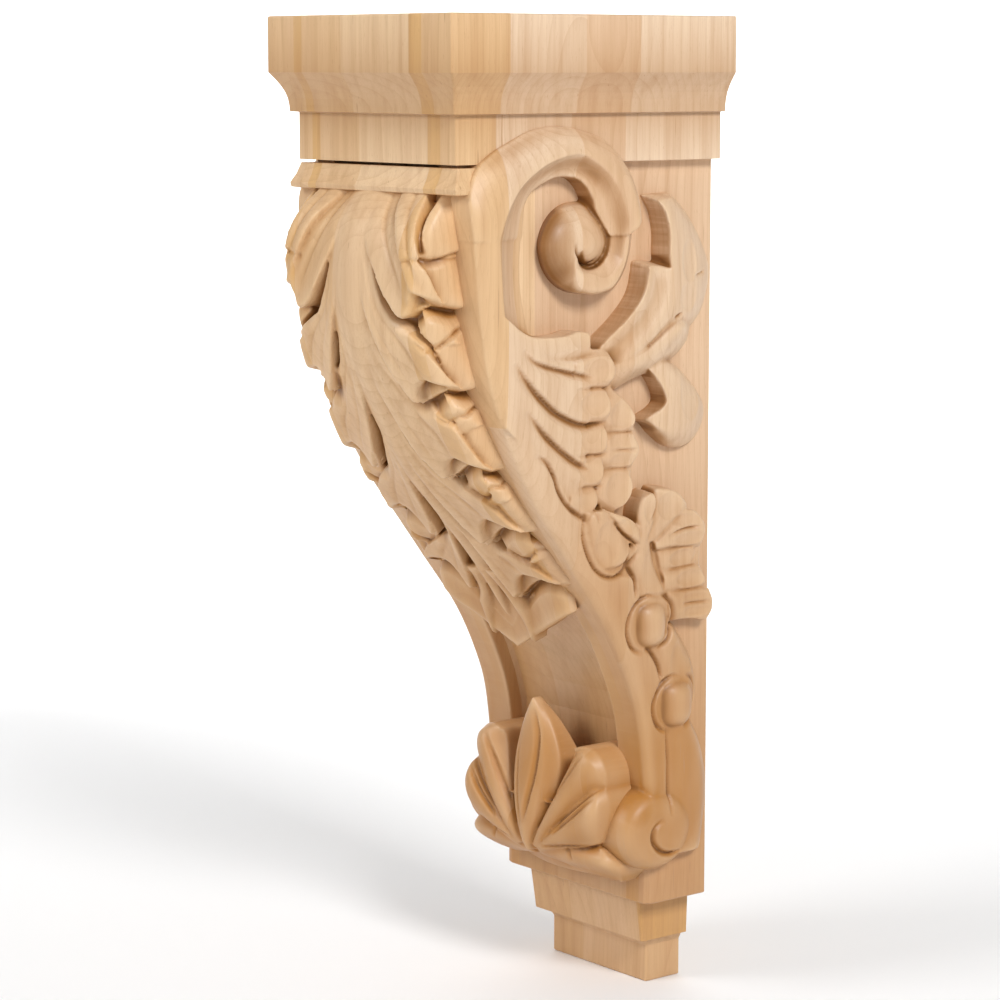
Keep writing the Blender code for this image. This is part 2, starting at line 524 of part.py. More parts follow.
def block_outlines():
    """The block from foot to cap: foot, middle, base, the panel with its curved front, band and cap."""
    outlines = [
        plan(0, FOOT_HALF_WIDTH - EASE, FOOT_DEPTH - EASE, 1.0),
        plan(EASE, FOOT_HALF_WIDTH, FOOT_DEPTH, 1.5),
        plan(MIDDLE_BOTTOM - 5, FOOT_HALF_WIDTH, FOOT_DEPTH, 1.5),
        plan(MIDDLE_BOTTOM, FOOT_HALF_WIDTH + 2.5, FOOT_DEPTH + 2.5, 1.5),
        plan(MIDDLE_BOTTOM + LEDGE_FALL, MIDDLE_HALF_WIDTH, MIDDLE_DEPTH, 1.5),
        plan(BASE_BOTTOM, MIDDLE_HALF_WIDTH + 1.0, MIDDLE_DEPTH + 3.5, 1.5),
        plan(BASE_BOTTOM + LEDGE_FALL, PANEL_HALF_WIDTH - EASE, BASE_DEPTH - EASE, BASE_CORNER),
        plan(BASE_BOTTOM + LEDGE_FALL + EASE, PANEL_HALF_WIDTH, BASE_DEPTH, BASE_CORNER),
        plan(BASE_TOP, PANEL_HALF_WIDTH, BASE_DEPTH, BASE_CORNER),
    ]
    outlines += [panel_outline(z) for z in np.linspace(BASE_TOP + 30, DRIP_LEVELS[0][0], PANEL_LEVELS)]
    outlines += [plan(z, half, depth, 1.0, ends=PANEL_HALF_WIDTH) for z, half, depth in DRIP_LEVELS]
    outlines += [panel_outline(DRIP_LEVELS[-1][0]), panel_outline(BAND_BOTTOM)]
    front_band = CAP_DEPTH - BAND_INSET
    outlines += [
        plan(BAND_BOTTOM + LEDGE_FALL, CAP_HALF_WIDTH - BAND_INSET, front_band, 1.5),
        plan(COVE_BOTTOM, CAP_HALF_WIDTH - BAND_INSET, front_band, 1.5),
    ]
    for k in range(COVE_STEPS + 1):
        t = k / COVE_STEPS
        inset = COVE_INSET * (1 - t) + COVE_HOLLOW * math.sin(math.pi * t)
        z = COVE_BOTTOM + LEDGE_FALL + (SLAB_BOTTOM - COVE_BOTTOM - LEDGE_FALL) * t
        outlines.append(plan(z, CAP_HALF_WIDTH - inset, CAP_DEPTH - inset, 1.5))
    outlines += [
        plan(HEIGHT - EASE, CAP_HALF_WIDTH, CAP_DEPTH, 1.5),
        plan(HEIGHT, CAP_HALF_WIDTH - EASE, CAP_DEPTH - EASE, 1.0),
    ]
    return outlines


def wood():
    material = bpy.data.materials.new("pale_hardwood")
    material.use_nodes = True
    shader = material.node_tree.nodes["Principled BSDF"]
    shader.inputs["Base Color"].default_value = (*WOOD, 1)
    shader.inputs["Roughness"].default_value = 0.45
    shader.inputs["Metallic"].default_value = 0.0
    return material


def to_object(bm, name, material, helper=False):
    bmesh.ops.translate(bm, verts=bm.verts, vec=(0, 0, -HEIGHT / 2 * MM))
    mesh = bpy.data.meshes.new(name)
    bm.to_mesh(mesh)
    bm.free()
    mesh.materials.append(material)
    item = bpy.data.objects.new(name, mesh)
    bpy.context.scene.collection.objects.link(item)
    if helper:
        item.hide_render = True
        item.display_type = "WIRE"
    return item


def main():
    for item in list(bpy.data.objects):
        bpy.data.objects.remove(item)
    material = wood()
    bm = bmesh.new()
    rim(bm)
    snail(bm)
    side_leaves(bm)
    husks(bm)
    roll(bm)
    geom = bm.verts[:] + bm.edges[:] + bm.faces[:]
    copy = bmesh.ops.duplicate(bm, geom=geom)["geom"]
    other = [item for item in copy if isinstance(item, bmesh.types.BMVert)]
    bmesh.ops.scale(bm, vec=(-1, 1, 1), verts=other)
    bmesh.ops.reverse_faces(bm, faces=[item for item in copy if isinstance(item, bmesh.types.BMFace)])
    front_leaf(bm)
    palmette(bm)
    carving = to_object(bm, "carving", material, helper=True)
    fuse = carving.modifiers.new("fuse", "REMESH")
    fuse.mode = "VOXEL"
    fuse.voxel_size = CARVING_VOXEL * MM
    thin = carving.modifiers.new("thin", "DECIMATE")
    thin.ratio = CARVING_KEEP

    bm = bmesh.new()
    stack(bm, block_outlines())
    corbel = to_object(bm, "corbel", material)
    union = corbel.modifiers.new("join_carving", "BOOLEAN")
    union.operation = "UNION"
    union.solver = "EXACT"
    union.object = carving


main()
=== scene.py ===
# %% [markdown]
# # A carved wooden corbel
# This notebook dresses the plain solid of a hardwood corbel: a bracket with S-scroll sides, an acanthus leaf
# down its front, a palmette at its foot and a moulded cap. The solid arrives as a frame that is already the
# right size, in metres, with the wall at Y = 0 and the foot 279.5 mm below the origin. Everything here is
# modelled in that same space, so nothing has to be fitted afterwards.

# %% Load the frame
import math

import bmesh
import bpy
import numpy as np
from mathutils import Matrix, Vector


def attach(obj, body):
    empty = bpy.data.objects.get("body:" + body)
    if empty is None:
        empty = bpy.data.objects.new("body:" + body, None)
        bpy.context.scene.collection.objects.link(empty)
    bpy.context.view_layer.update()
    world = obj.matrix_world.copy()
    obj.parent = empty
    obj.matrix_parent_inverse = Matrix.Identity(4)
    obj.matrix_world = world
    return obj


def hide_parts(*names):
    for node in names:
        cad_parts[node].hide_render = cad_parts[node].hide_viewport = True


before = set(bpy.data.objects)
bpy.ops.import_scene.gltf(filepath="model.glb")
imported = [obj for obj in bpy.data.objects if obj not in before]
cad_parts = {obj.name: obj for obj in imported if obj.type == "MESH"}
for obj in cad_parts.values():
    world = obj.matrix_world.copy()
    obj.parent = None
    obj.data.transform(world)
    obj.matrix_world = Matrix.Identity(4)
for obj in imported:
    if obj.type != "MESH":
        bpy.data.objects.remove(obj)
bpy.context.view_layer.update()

# %% [markdown]
# ## Camera
# The camera comes first, because it decides which details are worth carving. The picture is taken from the
# right front, a little above the middle, with a long lens so that the upright edges stay nearly parallel.

# %% Camera
CAMERA_PLACE = (1.346, -1.183, 0.2535)
CAMERA_TILT = 81.90
CAMERA_TURN = 51.21
LENS = 110.5
FAR_CLIP = 50

camera = bpy.data.objects.new("camera", bpy.data.cameras.new("camera"))
camera.data.lens = LENS
camera.data.clip_end = FAR_CLIP
camera.location = CAMERA_PLACE
camera.rotation_euler = (math.radians(CAMERA_TILT), 0, math.radians(CAMERA_TURN))
bpy.context.scene.collection.objects.link(camera)
bpy.context.scene.camera = camera
bpy.context.scene.view_settings.view_transform = "Standard"
print("camera", LENS, "mm")

# %% [markdown]
# ## Floor
# A catalogue picture of a corbel is lit by broad, soft sources and stands on white. One sheet swept from
# floor to wall, made by extruding one edge, gives a ground with no horizon in the picture's own view.

# %% Floor
FOOT_LEVEL = -0.2795
SWEEP_RADIUS = 1.2
SWEEP_STEPS = 12
SWEEP_BACK = 3.0
SWEEP_HEIGHT = 4.0
FLOOR_FRONT = 16.0
FLOOR_HALF_WIDTH = 16.0
FLOOR_WHITE = (0.92, 0.92, 0.92)
FLOOR_ROUGHNESS = 0.9


def plain(name, colour, roughness):
    """A one-colour material, for what isn't part of the object."""
    material = bpy.data.materials.new(name)
    material.use_nodes = True
    shader = material.node_tree.nodes["Principled BSDF"]
    shader.inputs["Base Color"].default_value = (*colour, 1)
    shader.inputs["Roughness"].default_value = roughness
    return material


def swept_floor():
    """A floor that curves up into a wall, made by extruding one edge along a line and an arc."""
    bm = bmesh.new()
    front = Vector((-FLOOR_HALF_WIDTH, -FLOOR_FRONT, 0)), Vector((FLOOR_HALF_WIDTH, -FLOOR_FRONT, 0))
    edge = bm.edges.new([bm.verts.new(point) for point in front])
    steps = [Vector((0, FLOOR_FRONT + SWEEP_BACK, 0))]
    turn = math.pi / 2 / SWEEP_STEPS
    steps += [Vector((0, math.cos(turn * (k + 0.5)), math.sin(turn * (k + 0.5)))) * SWEEP_RADIUS * turn
              for k in range(SWEEP_STEPS)]
    steps.append(Vector((0, 0, SWEEP_HEIGHT)))
    for step in steps:
        made = bmesh.ops.extrude_edge_only(bm, edges=[edge])["geom"]
        bmesh.ops.translate(bm, verts=[v for v in made if isinstance(v, bmesh.types.BMVert)], vec=step)
        edge = next(item for item in made if isinstance(item, bmesh.types.BMEdge)
                    and all(v in made for v in item.verts))
    bmesh.ops.rotate(bm, verts=bm.verts, cent=(0, 0, 0), matrix=TURN_TO_CAMERA)
    bmesh.ops.translate(bm, verts=bm.verts, vec=(0, 0, FOOT_LEVEL))
    bmesh.ops.recalc_face_normals(bm, faces=bm.faces)
    return bm


TURN_TO_CAMERA = Matrix.Rotation(math.radians(CAMERA_TURN), 3, "Z")
mesh = bpy.data.meshes.new("floor")
bm = swept_floor()
bm.to_mesh(mesh)
bm.free()
mesh.polygons.foreach_set("use_smooth", [True] * len(mesh.polygons))
mesh.materials.append(plain("floor_white", FLOOR_WHITE, FLOOR_ROUGHNESS))
floor = bpy.data.objects.new("floor", mesh)
bpy.context.scene.collection.objects.link(floor)
print("floor", len(mesh.polygons), "faces")

# %% [markdown]
# ## Light
# The finish is satin, so large soft boxes suit it: a strong one on the right, above the volute, a wider one
# that reaches the front from the left, and one for the paper sweep behind. A bright surround fills the
# shadows.

# %% Lights
# Name, place, the point it faces, size and power of each light.
SOFT_LIGHTS = [
    ("key", (2.5, -0.6, 1.7), (0, -0.1, 0), 0.8, 62),
    ("front", (-0.8, -2.6, 1.5), (0, -0.1, 0), 1.2, 33),
    ("wall", (-1.6, 1.4, 2.4), (-3.3, 2.6, 0.6), 2.0, 150),
]
AMBIENT = 0.33

for name, place, target, size, power in SOFT_LIGHTS:
    lamp = bpy.data.lights.new(name, "AREA")
    lamp.size = size
    lamp.energy = power
    light = bpy.data.objects.new(name, lamp)
    light.location = place
    light.rotation_euler = (Vector(target) - Vector(place)).to_track_quat("-Z", "Y").to_euler()
    bpy.context.scene.collection.objects.link(light)
world = bpy.data.worlds.new("studio")
world.use_nodes = True
world.node_tree.nodes["Background"].inputs["Color"].default_value = (1.0, 1.0, 1.0, 1)
world.node_tree.nodes["Background"].inputs["Strength"].default_value = AMBIENT
bpy.context.scene.world = world
print("lights", len(SOFT_LIGHTS))

# %% [markdown]
# ## Sizes
# The corbel's driving sizes in millimetres, measured up from its foot. A carver would mark them on the
# block with a square and a card template before cutting anything.

# %% Sizes of the block and the scroll
MM = 0.001

# Driving sizes of the block.
HEIGHT = 559.0
CAP_HALF_WIDTH = 84.0
CAP_DEPTH = 200.5
SLAB_BOTTOM = 528.0
COVE_BOTTOM = 506.0
COVE_INSET = 8.5
COVE_HOLLOW = 2.4
BAND_INSET = 12.3
BAND_BOTTOM = 479.5
PANEL_HALF_WIDTH = 64.3
CHEEK_INNER = 48.0
FIELD_SINK = 11.0
BASE_TOP = 77.0
BASE_BOTTOM = 53.7
BASE_DEPTH = 45.5
BASE_CORNER = 6.0
MIDDLE_BOTTOM = 26.8
MIDDLE_HALF_WIDTH = 48.9
MIDDLE_DEPTH = 34.6
FOOT_HALF_WIDTH = 42.5
FOOT_DEPTH = 25.7
EASE = 0.8
# The drip moulding under the band: height above the foot, half width, depth; its ends stop against the
# scrolls.
DRIP_LEVELS = [(464.0, 73.0, 188.5), (464.5, 75.5, 191.2), (467.0, 76.0, 191.7), (472.0, 73.5, 189.0),
               (478.2, 71.8, 186.8)]
DRIP_BACK = 160.0
PANEL_LEVELS = 22
COVE_STEPS = 6
# Ledges on the underside lean up by this much towards their rim.
LEDGE_FALL = 0.4
# How far the scroll stands proud of the side panel, by the foot and at the volute.
LOW_RELIEF = 9.2
HIGH_RELIEF = 18.7
RELIEF_RISE = (150, 400)
# The leaves on the side were traced along a slanting line of sight, in heights where the scroll stands at
# SCROLL_LEVEL; TRACE_SHIFT and TRACE_SLANT turn those tracings square to the panel.
SCROLL_LEVEL = 9.4
TRACE_SHIFT = 6.9
TRACE_SLANT = 0.9
# The carving stops this far short of the wall.
WALL_GAP = 0.6

# The front edge of the scroll rims in side view: height above the foot, distance from the wall.
RIM_FRONT = [
    (110, 50), (130, 54.3), (145, 54.4), (157, 55.5), (177, 60.8), (199, 70), (220, 81.8), (246, 101.1),
    (270, 118.4), (290, 133.6), (310, 146.2), (327, 155.5), (350, 166), (375, 173.7), (400, 177.5),
    (420, 179.5), (440, 181.5), (460, 183), (480, 183),
]
# The middle of the front leaf in side view: height above the foot, distance from the wall.
LEAF_FRONT = [
    (190, 84), (200, 88), (215, 93), (225, 98), (240, 107), (260, 122), (280, 139), (300, 157), (320, 172),
    (340, 183), (360, 193), (380, 201), (400, 205.5), (420, 206), (436, 205), (447, 202), (455, 197),
    (464, 189), (474, 180),
]
# How far the leaf falls back at its margins, by height above the foot.
LEAF_FALL = [(190, 0), (215, 2), (240, 5), (260, 7), (290, 7), (333, 6), (380, 5), (400, 4), (430, 0),
             (480, 0)]
LEAF_SIDE = 61.0
LEAF_CORNER = 6.0
# The palmette in side view, and how far it curves back towards its sides.
PALMETTE_BULGE = 11.0
PALMETTE_FRONT = [(60, 58), (68, 66), (80, 77), (90, 81), (110, 81.5), (130, 79), (150, 77.5), (175, 77)]

# How fine the carving is: the remesh's voxel, and the share of its faces that the thinning keeps.
CARVING_VOXEL = 0.85
SIDE_KEEP = 0.42
LEAF_KEEP = 0.44
print("sizes", HEIGHT, CAP_HALF_WIDTH * 2, CAP_DEPTH)

# %% [markdown]
# ## Curves
# A carver's template is a few measured points with a bent lath drawn through them. A curve does the same
# here: it runs smoothly through the rows of a table and can be read at any height.

# %% Curves
def curve(points, count):
    """Points along a smooth curve through all the rows of a list, spaced evenly in their own order."""
    rows = np.array(points, float)
    ends = np.vstack([2 * rows[0] - rows[1], rows, 2 * rows[-1] - rows[-2]])
    steps = np.linspace(0, len(rows) - 1, count)
    first = np.minimum(steps.astype(int), len(rows) - 2)
    t = (steps - first)[:, None]
    a, b, c, d = (ends[first + k] for k in range(4))
    return 0.5 * (2 * b + (c - a) * t + (2 * a - 5 * b + 4 * c - d) * t**2 + (3 * b - a - 3 * c + d) * t**3)


def even(points, count=65):
    """The same curve with its points spaced evenly by length."""
    fine = curve(points, 12 * len(points))
    length = np.concatenate([[0], np.cumsum(np.linalg.norm(np.diff(fine, axis=0), axis=1))])
    wanted = np.linspace(0, length[-1], count)
    return np.stack([np.interp(wanted, length, fine[:, k]) for k in range(fine.shape[1])], -1)


FINE = {id(p): curve(p, 200) for p in (RIM_FRONT, LEAF_FRONT, PALMETTE_FRONT)}


def depth_at(profile, z):
    """Distance from the wall of a side-view profile at a height."""
    table = FINE[id(profile)]
    return float(np.interp(z, table[:, 0], table[:, 1]))


def at_turn(table, turn):
    """Reads a value out of a table of two columns."""
    return float(np.interp(turn, [row[0] for row in table], [row[1] for row in table]))


def smooth(value, low, high):
    """0 below low, 1 above high and a soft ramp between."""
    t = min(1.0, max(0.0, (value - low) / (high - low)))
    return t * t * (3 - 2 * t)


def relief(z):
    """How far the scroll stands proud of the side panel at a height."""
    return LOW_RELIEF + (HIGH_RELIEF - LOW_RELIEF) * smooth(z, *RELIEF_RISE)


def rim_front(z):
    """Distance from the wall of the scroll's front face at a height."""
    return depth_at(RIM_FRONT, z)


print("relief at half height", round(relief(HEIGHT / 2), 1), "mm")

# %% [markdown]
# ## Charts
# A carver draws on the surface that is there. A chart does the same: it turns two drawn measures into a
# post that stands on the panel, the leaf or the palmette, with its foot, its way out and its height.

# %% Charts
def flat_chart(y, z, height):
    """A post on the right side panel."""
    return Vector((PANEL_HALF_WIDTH, y, z)), Vector((1, 0, 0)), height


def proud_chart(y, z, level):
    """A post on the right side panel, its height as a share of the scroll's."""
    return Vector((PANEL_HALF_WIDTH, y, z)), Vector((1, 0, 0)), level * relief(z) / SCROLL_LEVEL


def side_chart(y, z, level):
    """A post on the right side for a traced place: its foot on the panel, its way out and its height."""
    height = level * relief(z) / SCROLL_LEVEL
    y = min(y + TRACE_SHIFT - TRACE_SLANT * height, -WALL_GAP)
    return Vector((PANEL_HALF_WIDTH, y, z)), Vector((1, 0, 0)), height


def outward(profile, z):
    """Unit vector that leaves a side-view profile square to it, as (y, z)."""
    slope = (depth_at(profile, z + 4) - depth_at(profile, z - 4)) / 8
    length = math.hypot(1, slope)
    return -1 / length, -slope / length


def leaf_chart(s, z, height):
    """A post on the front leaf; s runs from the midrib across the front, round the corner and back."""
    side, s = math.copysign(1, s), abs(s)
    flat = LEAF_SIDE - LEAF_CORNER
    turn = min(max(0.0, (s - flat) / LEAF_CORNER), math.pi / 2)
    back = max(0.0, s - flat - LEAF_CORNER * math.pi / 2)
    x = min(s, flat) + LEAF_CORNER * math.sin(turn)
    fall = at_turn(LEAF_FALL, z) * (x / LEAF_SIDE) ** 2
    y = fall - depth_at(LEAF_FRONT, z) + LEAF_CORNER * (1 - math.cos(turn)) + back
    away = Vector((0, *outward(LEAF_FRONT, z))) * math.cos(turn) + Vector((side * math.sin(turn), 0, 0))
    return Vector((side * x, y, z)), away, height


def palmette_chart(x, z, height):
    """A post on the bulging palmette at the foot of the front."""
    bulge = PALMETTE_BULGE * (x / PANEL_HALF_WIDTH) ** 2
    return Vector((x, bulge - depth_at(PALMETTE_FRONT, z), z)), Vector((0, -1, 0)), height


print("leaf foot", [round(v, 1) for v in leaf_chart(0, 300, 0)[0]])

# %% [markdown]
# ## One carved body
# A leaf, a band or a lobe is a sheet between two drawn edges, hollowed or bulged across, and closed
# underneath so that it can be fused with its neighbours later. A grid raised by one extrusion gives it;
# rounded lumps start as a ball with its own radii. This beats sculpting by hand, because an edge can be
# redrawn without starting again.

# %% Carved bodies
# How deep a body reaches below the surface it stands on, unless it says otherwise.
SUNK = 8.0


def crown(across, square=2.2):
    """Height of a pillow section, 1 in the middle and 0 at both edges."""
    return max(0.0, 1 - abs(across) ** square) ** (1 / square)


def solid(bm, rows, cols, place, low):
    """One closed body between a curved sheet and its underside.

    place(along, across) gives the post that carries each point of the sheet: foot, way out and height.
    low(along) is the height of the underside on the same post.
    """
    verts = bmesh.ops.create_grid(bm, x_segments=cols, y_segments=rows, size=1.0)["verts"]
    faces = list({face for vert in verts for face in vert.link_faces})
    raised = bmesh.ops.extrude_face_region(bm, geom=faces)["geom"]
    raised = [item for item in raised if isinstance(item, bmesh.types.BMVert)]
    for group, buried in ((raised, False), (verts, True)):
        for vert in group:
            along, across = (vert.co.y + 1) / 2, (vert.co.x + 1) / 2
            foot, out, height = place(along, across)
            vert.co = (foot + out * (low(along) if buried else height)) * MM
    body = {face for vert in verts + raised for face in vert.link_faces}
    bmesh.ops.recalc_face_normals(bm, faces=list(body))


def strip(bm, chart, left, right, root, tip=None, low=(-SUNK, -SUNK), fall=(0.0, 0.12), swell=0.1, rows=20,
          cols=10, mirror=1, arch=0.0):
    """A carved surface between two traced edges, closed underneath.

    root and tip are its heights from the left edge to the right one, where it starts and where it ends; an
    edge may carry heights of its own as well. low is the height of its underside at either end, and fall
    the share of its length that rounds down there. At its tip swell draws back the edges, arch the middle.
    mirror is -1 on the left of the corbel.
    """
    lines = np.linspace(0, 1, 65)
    first, second = even(left), even(right)
    start, finish = (curve(list(enumerate(heights)), len(lines))[:, 1] for heights in (root, tip or root))

    def place(along, across):
        off = (2 * across - 1) ** 2
        u = along * (1 - (swell * off + arch * (1 - off)) * along)
        columns = range(first.shape[1])
        p, q, *rise = (np.interp(u, lines, first[:, k]) * (1 - across)
                       + np.interp(u, lines, second[:, k]) * across for k in columns)
        height = np.interp(across, lines, start) * (1 - along) + np.interp(across, lines, finish) * along
        height += sum(rise)
        if fall[0]:
            height *= crown(max(0.0, 1 - along / fall[0]))
        if fall[1]:
            height *= crown(max(0.0, 1 - (1 - along) / fall[1]))
        return chart(mirror * p, q, height)

    solid(bm, rows, cols, place, lambda along: low[0] * (1 - along) + low[1] * along)


def boulder(bm, centre, radii, power, square, steps):
    """A rounded lump: a higher square gives it a squarer plan, a higher power flatter top and bottom."""
    ball = bmesh.ops.create_uvsphere(bm, u_segments=steps, v_segments=steps // 2, radius=1.0)["verts"]
    for vert in ball:
        level = (abs(vert.co.x) ** square + abs(vert.co.y) ** square) ** (power / square)
        size = (level + abs(vert.co.z) ** power) ** (-1 / power)
        x, y, z = (k * size * r for k, r in zip(vert.co, radii))
        vert.co = (centre + Vector((x, y, z))) * MM


print("pillow section", [round(crown(v), 2) for v in (0, 0.5, 0.9)])

# %% [markdown]
# ## The volute
# The scroll ends in a snail: a band that winds inwards and swells into a ball. The spiral's edge is a table
# of radius by turn, because a carved volute isn't a true mathematical spiral.

# %% Volute
# The volute's centre, and the radius of the spiral's outer edge by turn in degrees, clockwise from the front.
VOLUTE_CENTRE = (-107.0, 436.0)
VOLUTE_EDGE = [
    (150, 46), (165, 43), (180, 40.5), (200, 39.5), (220, 38.6), (240, 33), (256, 29), (270, 27.6),
    (300, 27.3), (360, 27.3), (400, 25), (440, 22.8), (480, 22.5), (510, 24), (540, 25), (560, 22.5),
    (580, 19), (600, 15), (625, 8), (640, 3),
]
VOLUTE_RECESS = [(150, 27), (200, 24), (280, 14)]
EYE_OFFSET = 9.0
# By turn: the whole snail; where the recess stops bounding its band; where the band's inner edge leaves the
# turn inside it; and where its section goes from a slope to a pillow, to a ball, and where the dome rises.
SNAIL_TURNS = (160, 640)
RECESS_END = 200
BAND_END = 280
PILLOW_TURNS = (190, 250)
BALL_TURNS = (240, 320)
DOME_TURNS = (400, 560)


def around(turn, radius):
    """A place in side view from a clockwise turn and a radius about the volute's centre."""
    angle = math.radians(180 - turn)
    return VOLUTE_CENTRE[0] + radius * math.cos(angle), VOLUTE_CENTRE[1] + radius * math.sin(angle)


def snail(bm, rows=72, cols=12):
    """The inner turn of the volute, which winds into a ball."""
    start, finish = SNAIL_TURNS

    def place(along, across):
        turn = start + (finish - start) * along
        outer = at_turn(VOLUTE_EDGE, turn)
        inner = at_turn(VOLUTE_EDGE, turn + 360) if turn < BAND_END else 0.0
        inner = max(inner, at_turn(VOLUTE_RECESS, turn)) if turn < RECESS_END else inner
        y, z = around(turn, inner + (outer - inner) * across)
        ball = smooth(turn, *BALL_TURNS)
        slope = (6.4 + 3.0 * across ** 1.5) * crown(across, 12)
        band = 8.9 * crown(2 * across - 1, 4)
        dome = (8.6 + 0.4 * smooth(turn, *DOME_TURNS)) * crown(across, 2.0)
        band = slope + (band - slope) * smooth(turn, *PILLOW_TURNS)
        return side_chart(y + EYE_OFFSET * ball * (1 - across), z, band + (dome - band) * ball)

    solid(bm, rows, cols, place, lambda along: -SUNK)


print("volute", len(VOLUTE_EDGE), "radii")

# %% [markdown]
# ## The scroll's rim
# The S-scroll's front edge is rounded all the way down from the volute to the roll, with a hollow inside
# the volute. Four drawn lines give it: outer edge, ridge, ledge and foot of the hollow.

# %% Scroll rim
# The scroll's band over the volute, as depth, height above the foot and height above the panel: its outer
# edge, its ridge and the foot or ledge of the hollow inside it.
BAND_EDGE = [
    (-182, 440, 15.2), (-184, 455, 14.5), (-183, 466, 12), (-176, 478, 10), (-166, 485.5, 9),
    (-154.6, 491, 8.5), (-138.8, 497.4, 8.5), (-122, 499.5, 8.5), (-106, 497.6, 9), (-86.6, 490.8, 10),
    (-72.5, 475.7, 12), (-66.5, 460, 14), (-65.8, 449, 15),
]
RIDGE = [(y, z, HIGH_RELIEF) for y, z in (
    (-167.8, 440), (-161.8, 455), (-152.8, 468), (-138.8, 478), (-125.8, 483), (-112.8, 485), (-102.8, 482),
    (-90.8, 474), (-81.8, 462), (-77.8, 449), (-77.3, 440),
)]
LEDGE = [
    (-137, 440, 0), (-136.5, 455, 0.6), (-133.8, 463.5, 2.5), (-126, 469.5, 5.5), (-118.3, 472.3, 8),
    (-109, 471.5, 10.5), (-102.6, 467, 12), (-98.2, 460, 13), (-97.2, 455, 13.4), (-93.8, 449, 13.6),
    (-87.2, 440, 14),
]
HOLLOW_FOOT = [(-120, 372, 0), (-131, 385, 0), (-137, 405, 0), (-139, 425, 0), (-137, 445, 0)]
# Height above the foot, and how far back the scroll's rounded edge reaches on the side.
RIM_WIDTH = [
    (112, 4.5), (157, 4.6), (182, 6.2), (214, 8.2), (246, 10.6), (275, 12), (296, 12.5), (330, 13), (365, 13),
    (400, 13), (445, 13.8),
]
# Where the scroll's flat flank ends at the husks, the pendant and the fan.
FLANK_EDGE = [
    (-37.5, 84), (-37.5, 120), (-37.5, 157), (-45, 163), (-48, 173), (-43, 188), (-46, 198), (-54, 206),
    (-62, 208), (-66, 218), (-63, 230), (-58, 236), (-61, 246), (-67, 250), (-78, 250), (-88, 256),
    (-95, 270), (-99, 284), (-109, 291), (-117, 302), (-122, 312), (-130, 319), (-138, 322),
]
FLANK_LEVEL = 9.3
# The ground that fills the joints between husks, pendant and flank.
UNDER_EDGE = [(-28, 84), (-28, 160), (-30, 200), (-45, 240), (-70, 262), (-90, 285), (-110, 310), (-128, 330)]
UNDER_LEVEL = 7.4
# How deep the scroll's own bodies reach into the block, and how far its front edge is rounded back.
PANEL_BURIED = PANEL_HALF_WIDTH - CHEEK_INNER
EDGE_DROP = 4.5


def traced(points, level):
    """Side tracings turned into depth, height above the foot and height above the panel."""
    return [(y + TRACE_SHIFT - TRACE_SLANT * h, z, h)
            for y, z in points for h in (level * relief(z) / SCROLL_LEVEL,)]


def rim(bm):
    """The S-scroll's outer band, from the roll at the foot up and over the volute."""
    front = [(-rim_front(z), z, relief(z) - EDGE_DROP) for z, _ in RIM_WIDTH]
    rear = [(width - rim_front(z), z, relief(z)) for z, width in RIM_WIDTH]
    lower, upper = rear[:8], rear[8:]
    rounded = [0, 1.3, 1.4, 0.8, 0]
    level = [0, 0, 0]
    for left, right, start, finish in (
        (front, rear, rounded, rounded),
        (BAND_EDGE, RIDGE, rounded, [0, 3.0, 4.0, 2.5, 0]),
        (RIDGE, LEDGE, [0, -2.4, -3.2, -2.2, 0], [0, -1.0, -1.4, -1.0, 0]),
        (upper, HOLLOW_FOOT, [0, -3.5, -4.5, -3.2, 0], [0, -3.0, -3.8, -2.8, 0]),
        (lower, traced(FLANK_EDGE, FLANK_LEVEL), level, level),
        (lower, traced(UNDER_EDGE, UNDER_LEVEL), level, level),
    ):
        strip(bm, flat_chart, left, right, start, finish, low=(-PANEL_BURIED, -PANEL_BURIED), fall=(0, 0),
              swell=0, rows=64, cols=10)


print("rim", len(RIM_WIDTH), "levels")

# %% [markdown]
# ## Leaves on the side
# A fan of scalloped leaves springs from the rim; behind it two leaves curl towards the wall and a broad one
# hooks round a dark hollow. A pendant hangs from the fan, and a shell sits beside it. The tips are short
# rounded bodies with drawn sides, laid next to each other as the carver's gouge leaves them.

# %% Side leaves
# The fan's sheet from the rim to its scalloped tips: its two edges as depth and height above the foot, and
# its heights from edge to edge at the rim and at the tips.
FAN = (
    [(-164, 400), (-148, 389.5), (-135, 387), (-120, 387), (-109, 389), (-99, 386.5)],
    [(-162, 340), (-146, 326), (-133, 320), (-127, 312), (-122, 301), (-113, 291), (-104, 285.5)],
    [9.4, 9.4, 9.4, 9.4, 9.2], [7.4, 8.7, 9.2, 9.0, 8.2],
)
# The leaves that curl towards the wall and the broad one that hooks round a hollow. The third column of an
# edge is its height above the panel, and the last row how far the leaf is crowned or dished between them.
UPPER_CURL = (
    [(-60, 378, 14), (-45, 394, 16), (-42, 407, 16.7), (-45, 427, 16.7), (-45, 440, 16.7), (-48, 452, 16),
     (-54, 461, 13)],
    [(-38, 372, 1.5), (-12, 390, 1.5), (-4, 406, 1.5), (-2.6, 419, 1.5), (-6.5, 430, 1.5), (-13, 441, 1.5),
     (-22, 452, 1.5), (-35, 462, 4)],
    [0, 1.6, 2.6, 2.0, 0],
)
LOWER_CURL = (
    [(-97, 377, 14.5), (-90, 383.5, 16), (-75, 395, 16.7), (-63.6, 408, 16.7), (-59.5, 426, 16.7)],
    [(-84, 362, 14), (-72, 371, 15), (-51, 387, 15.7), (-41, 404, 15.7), (-40.5, 423, 15.7)],
    [0, -1.0, -2.0, -1.0, 0.6, 0],
)
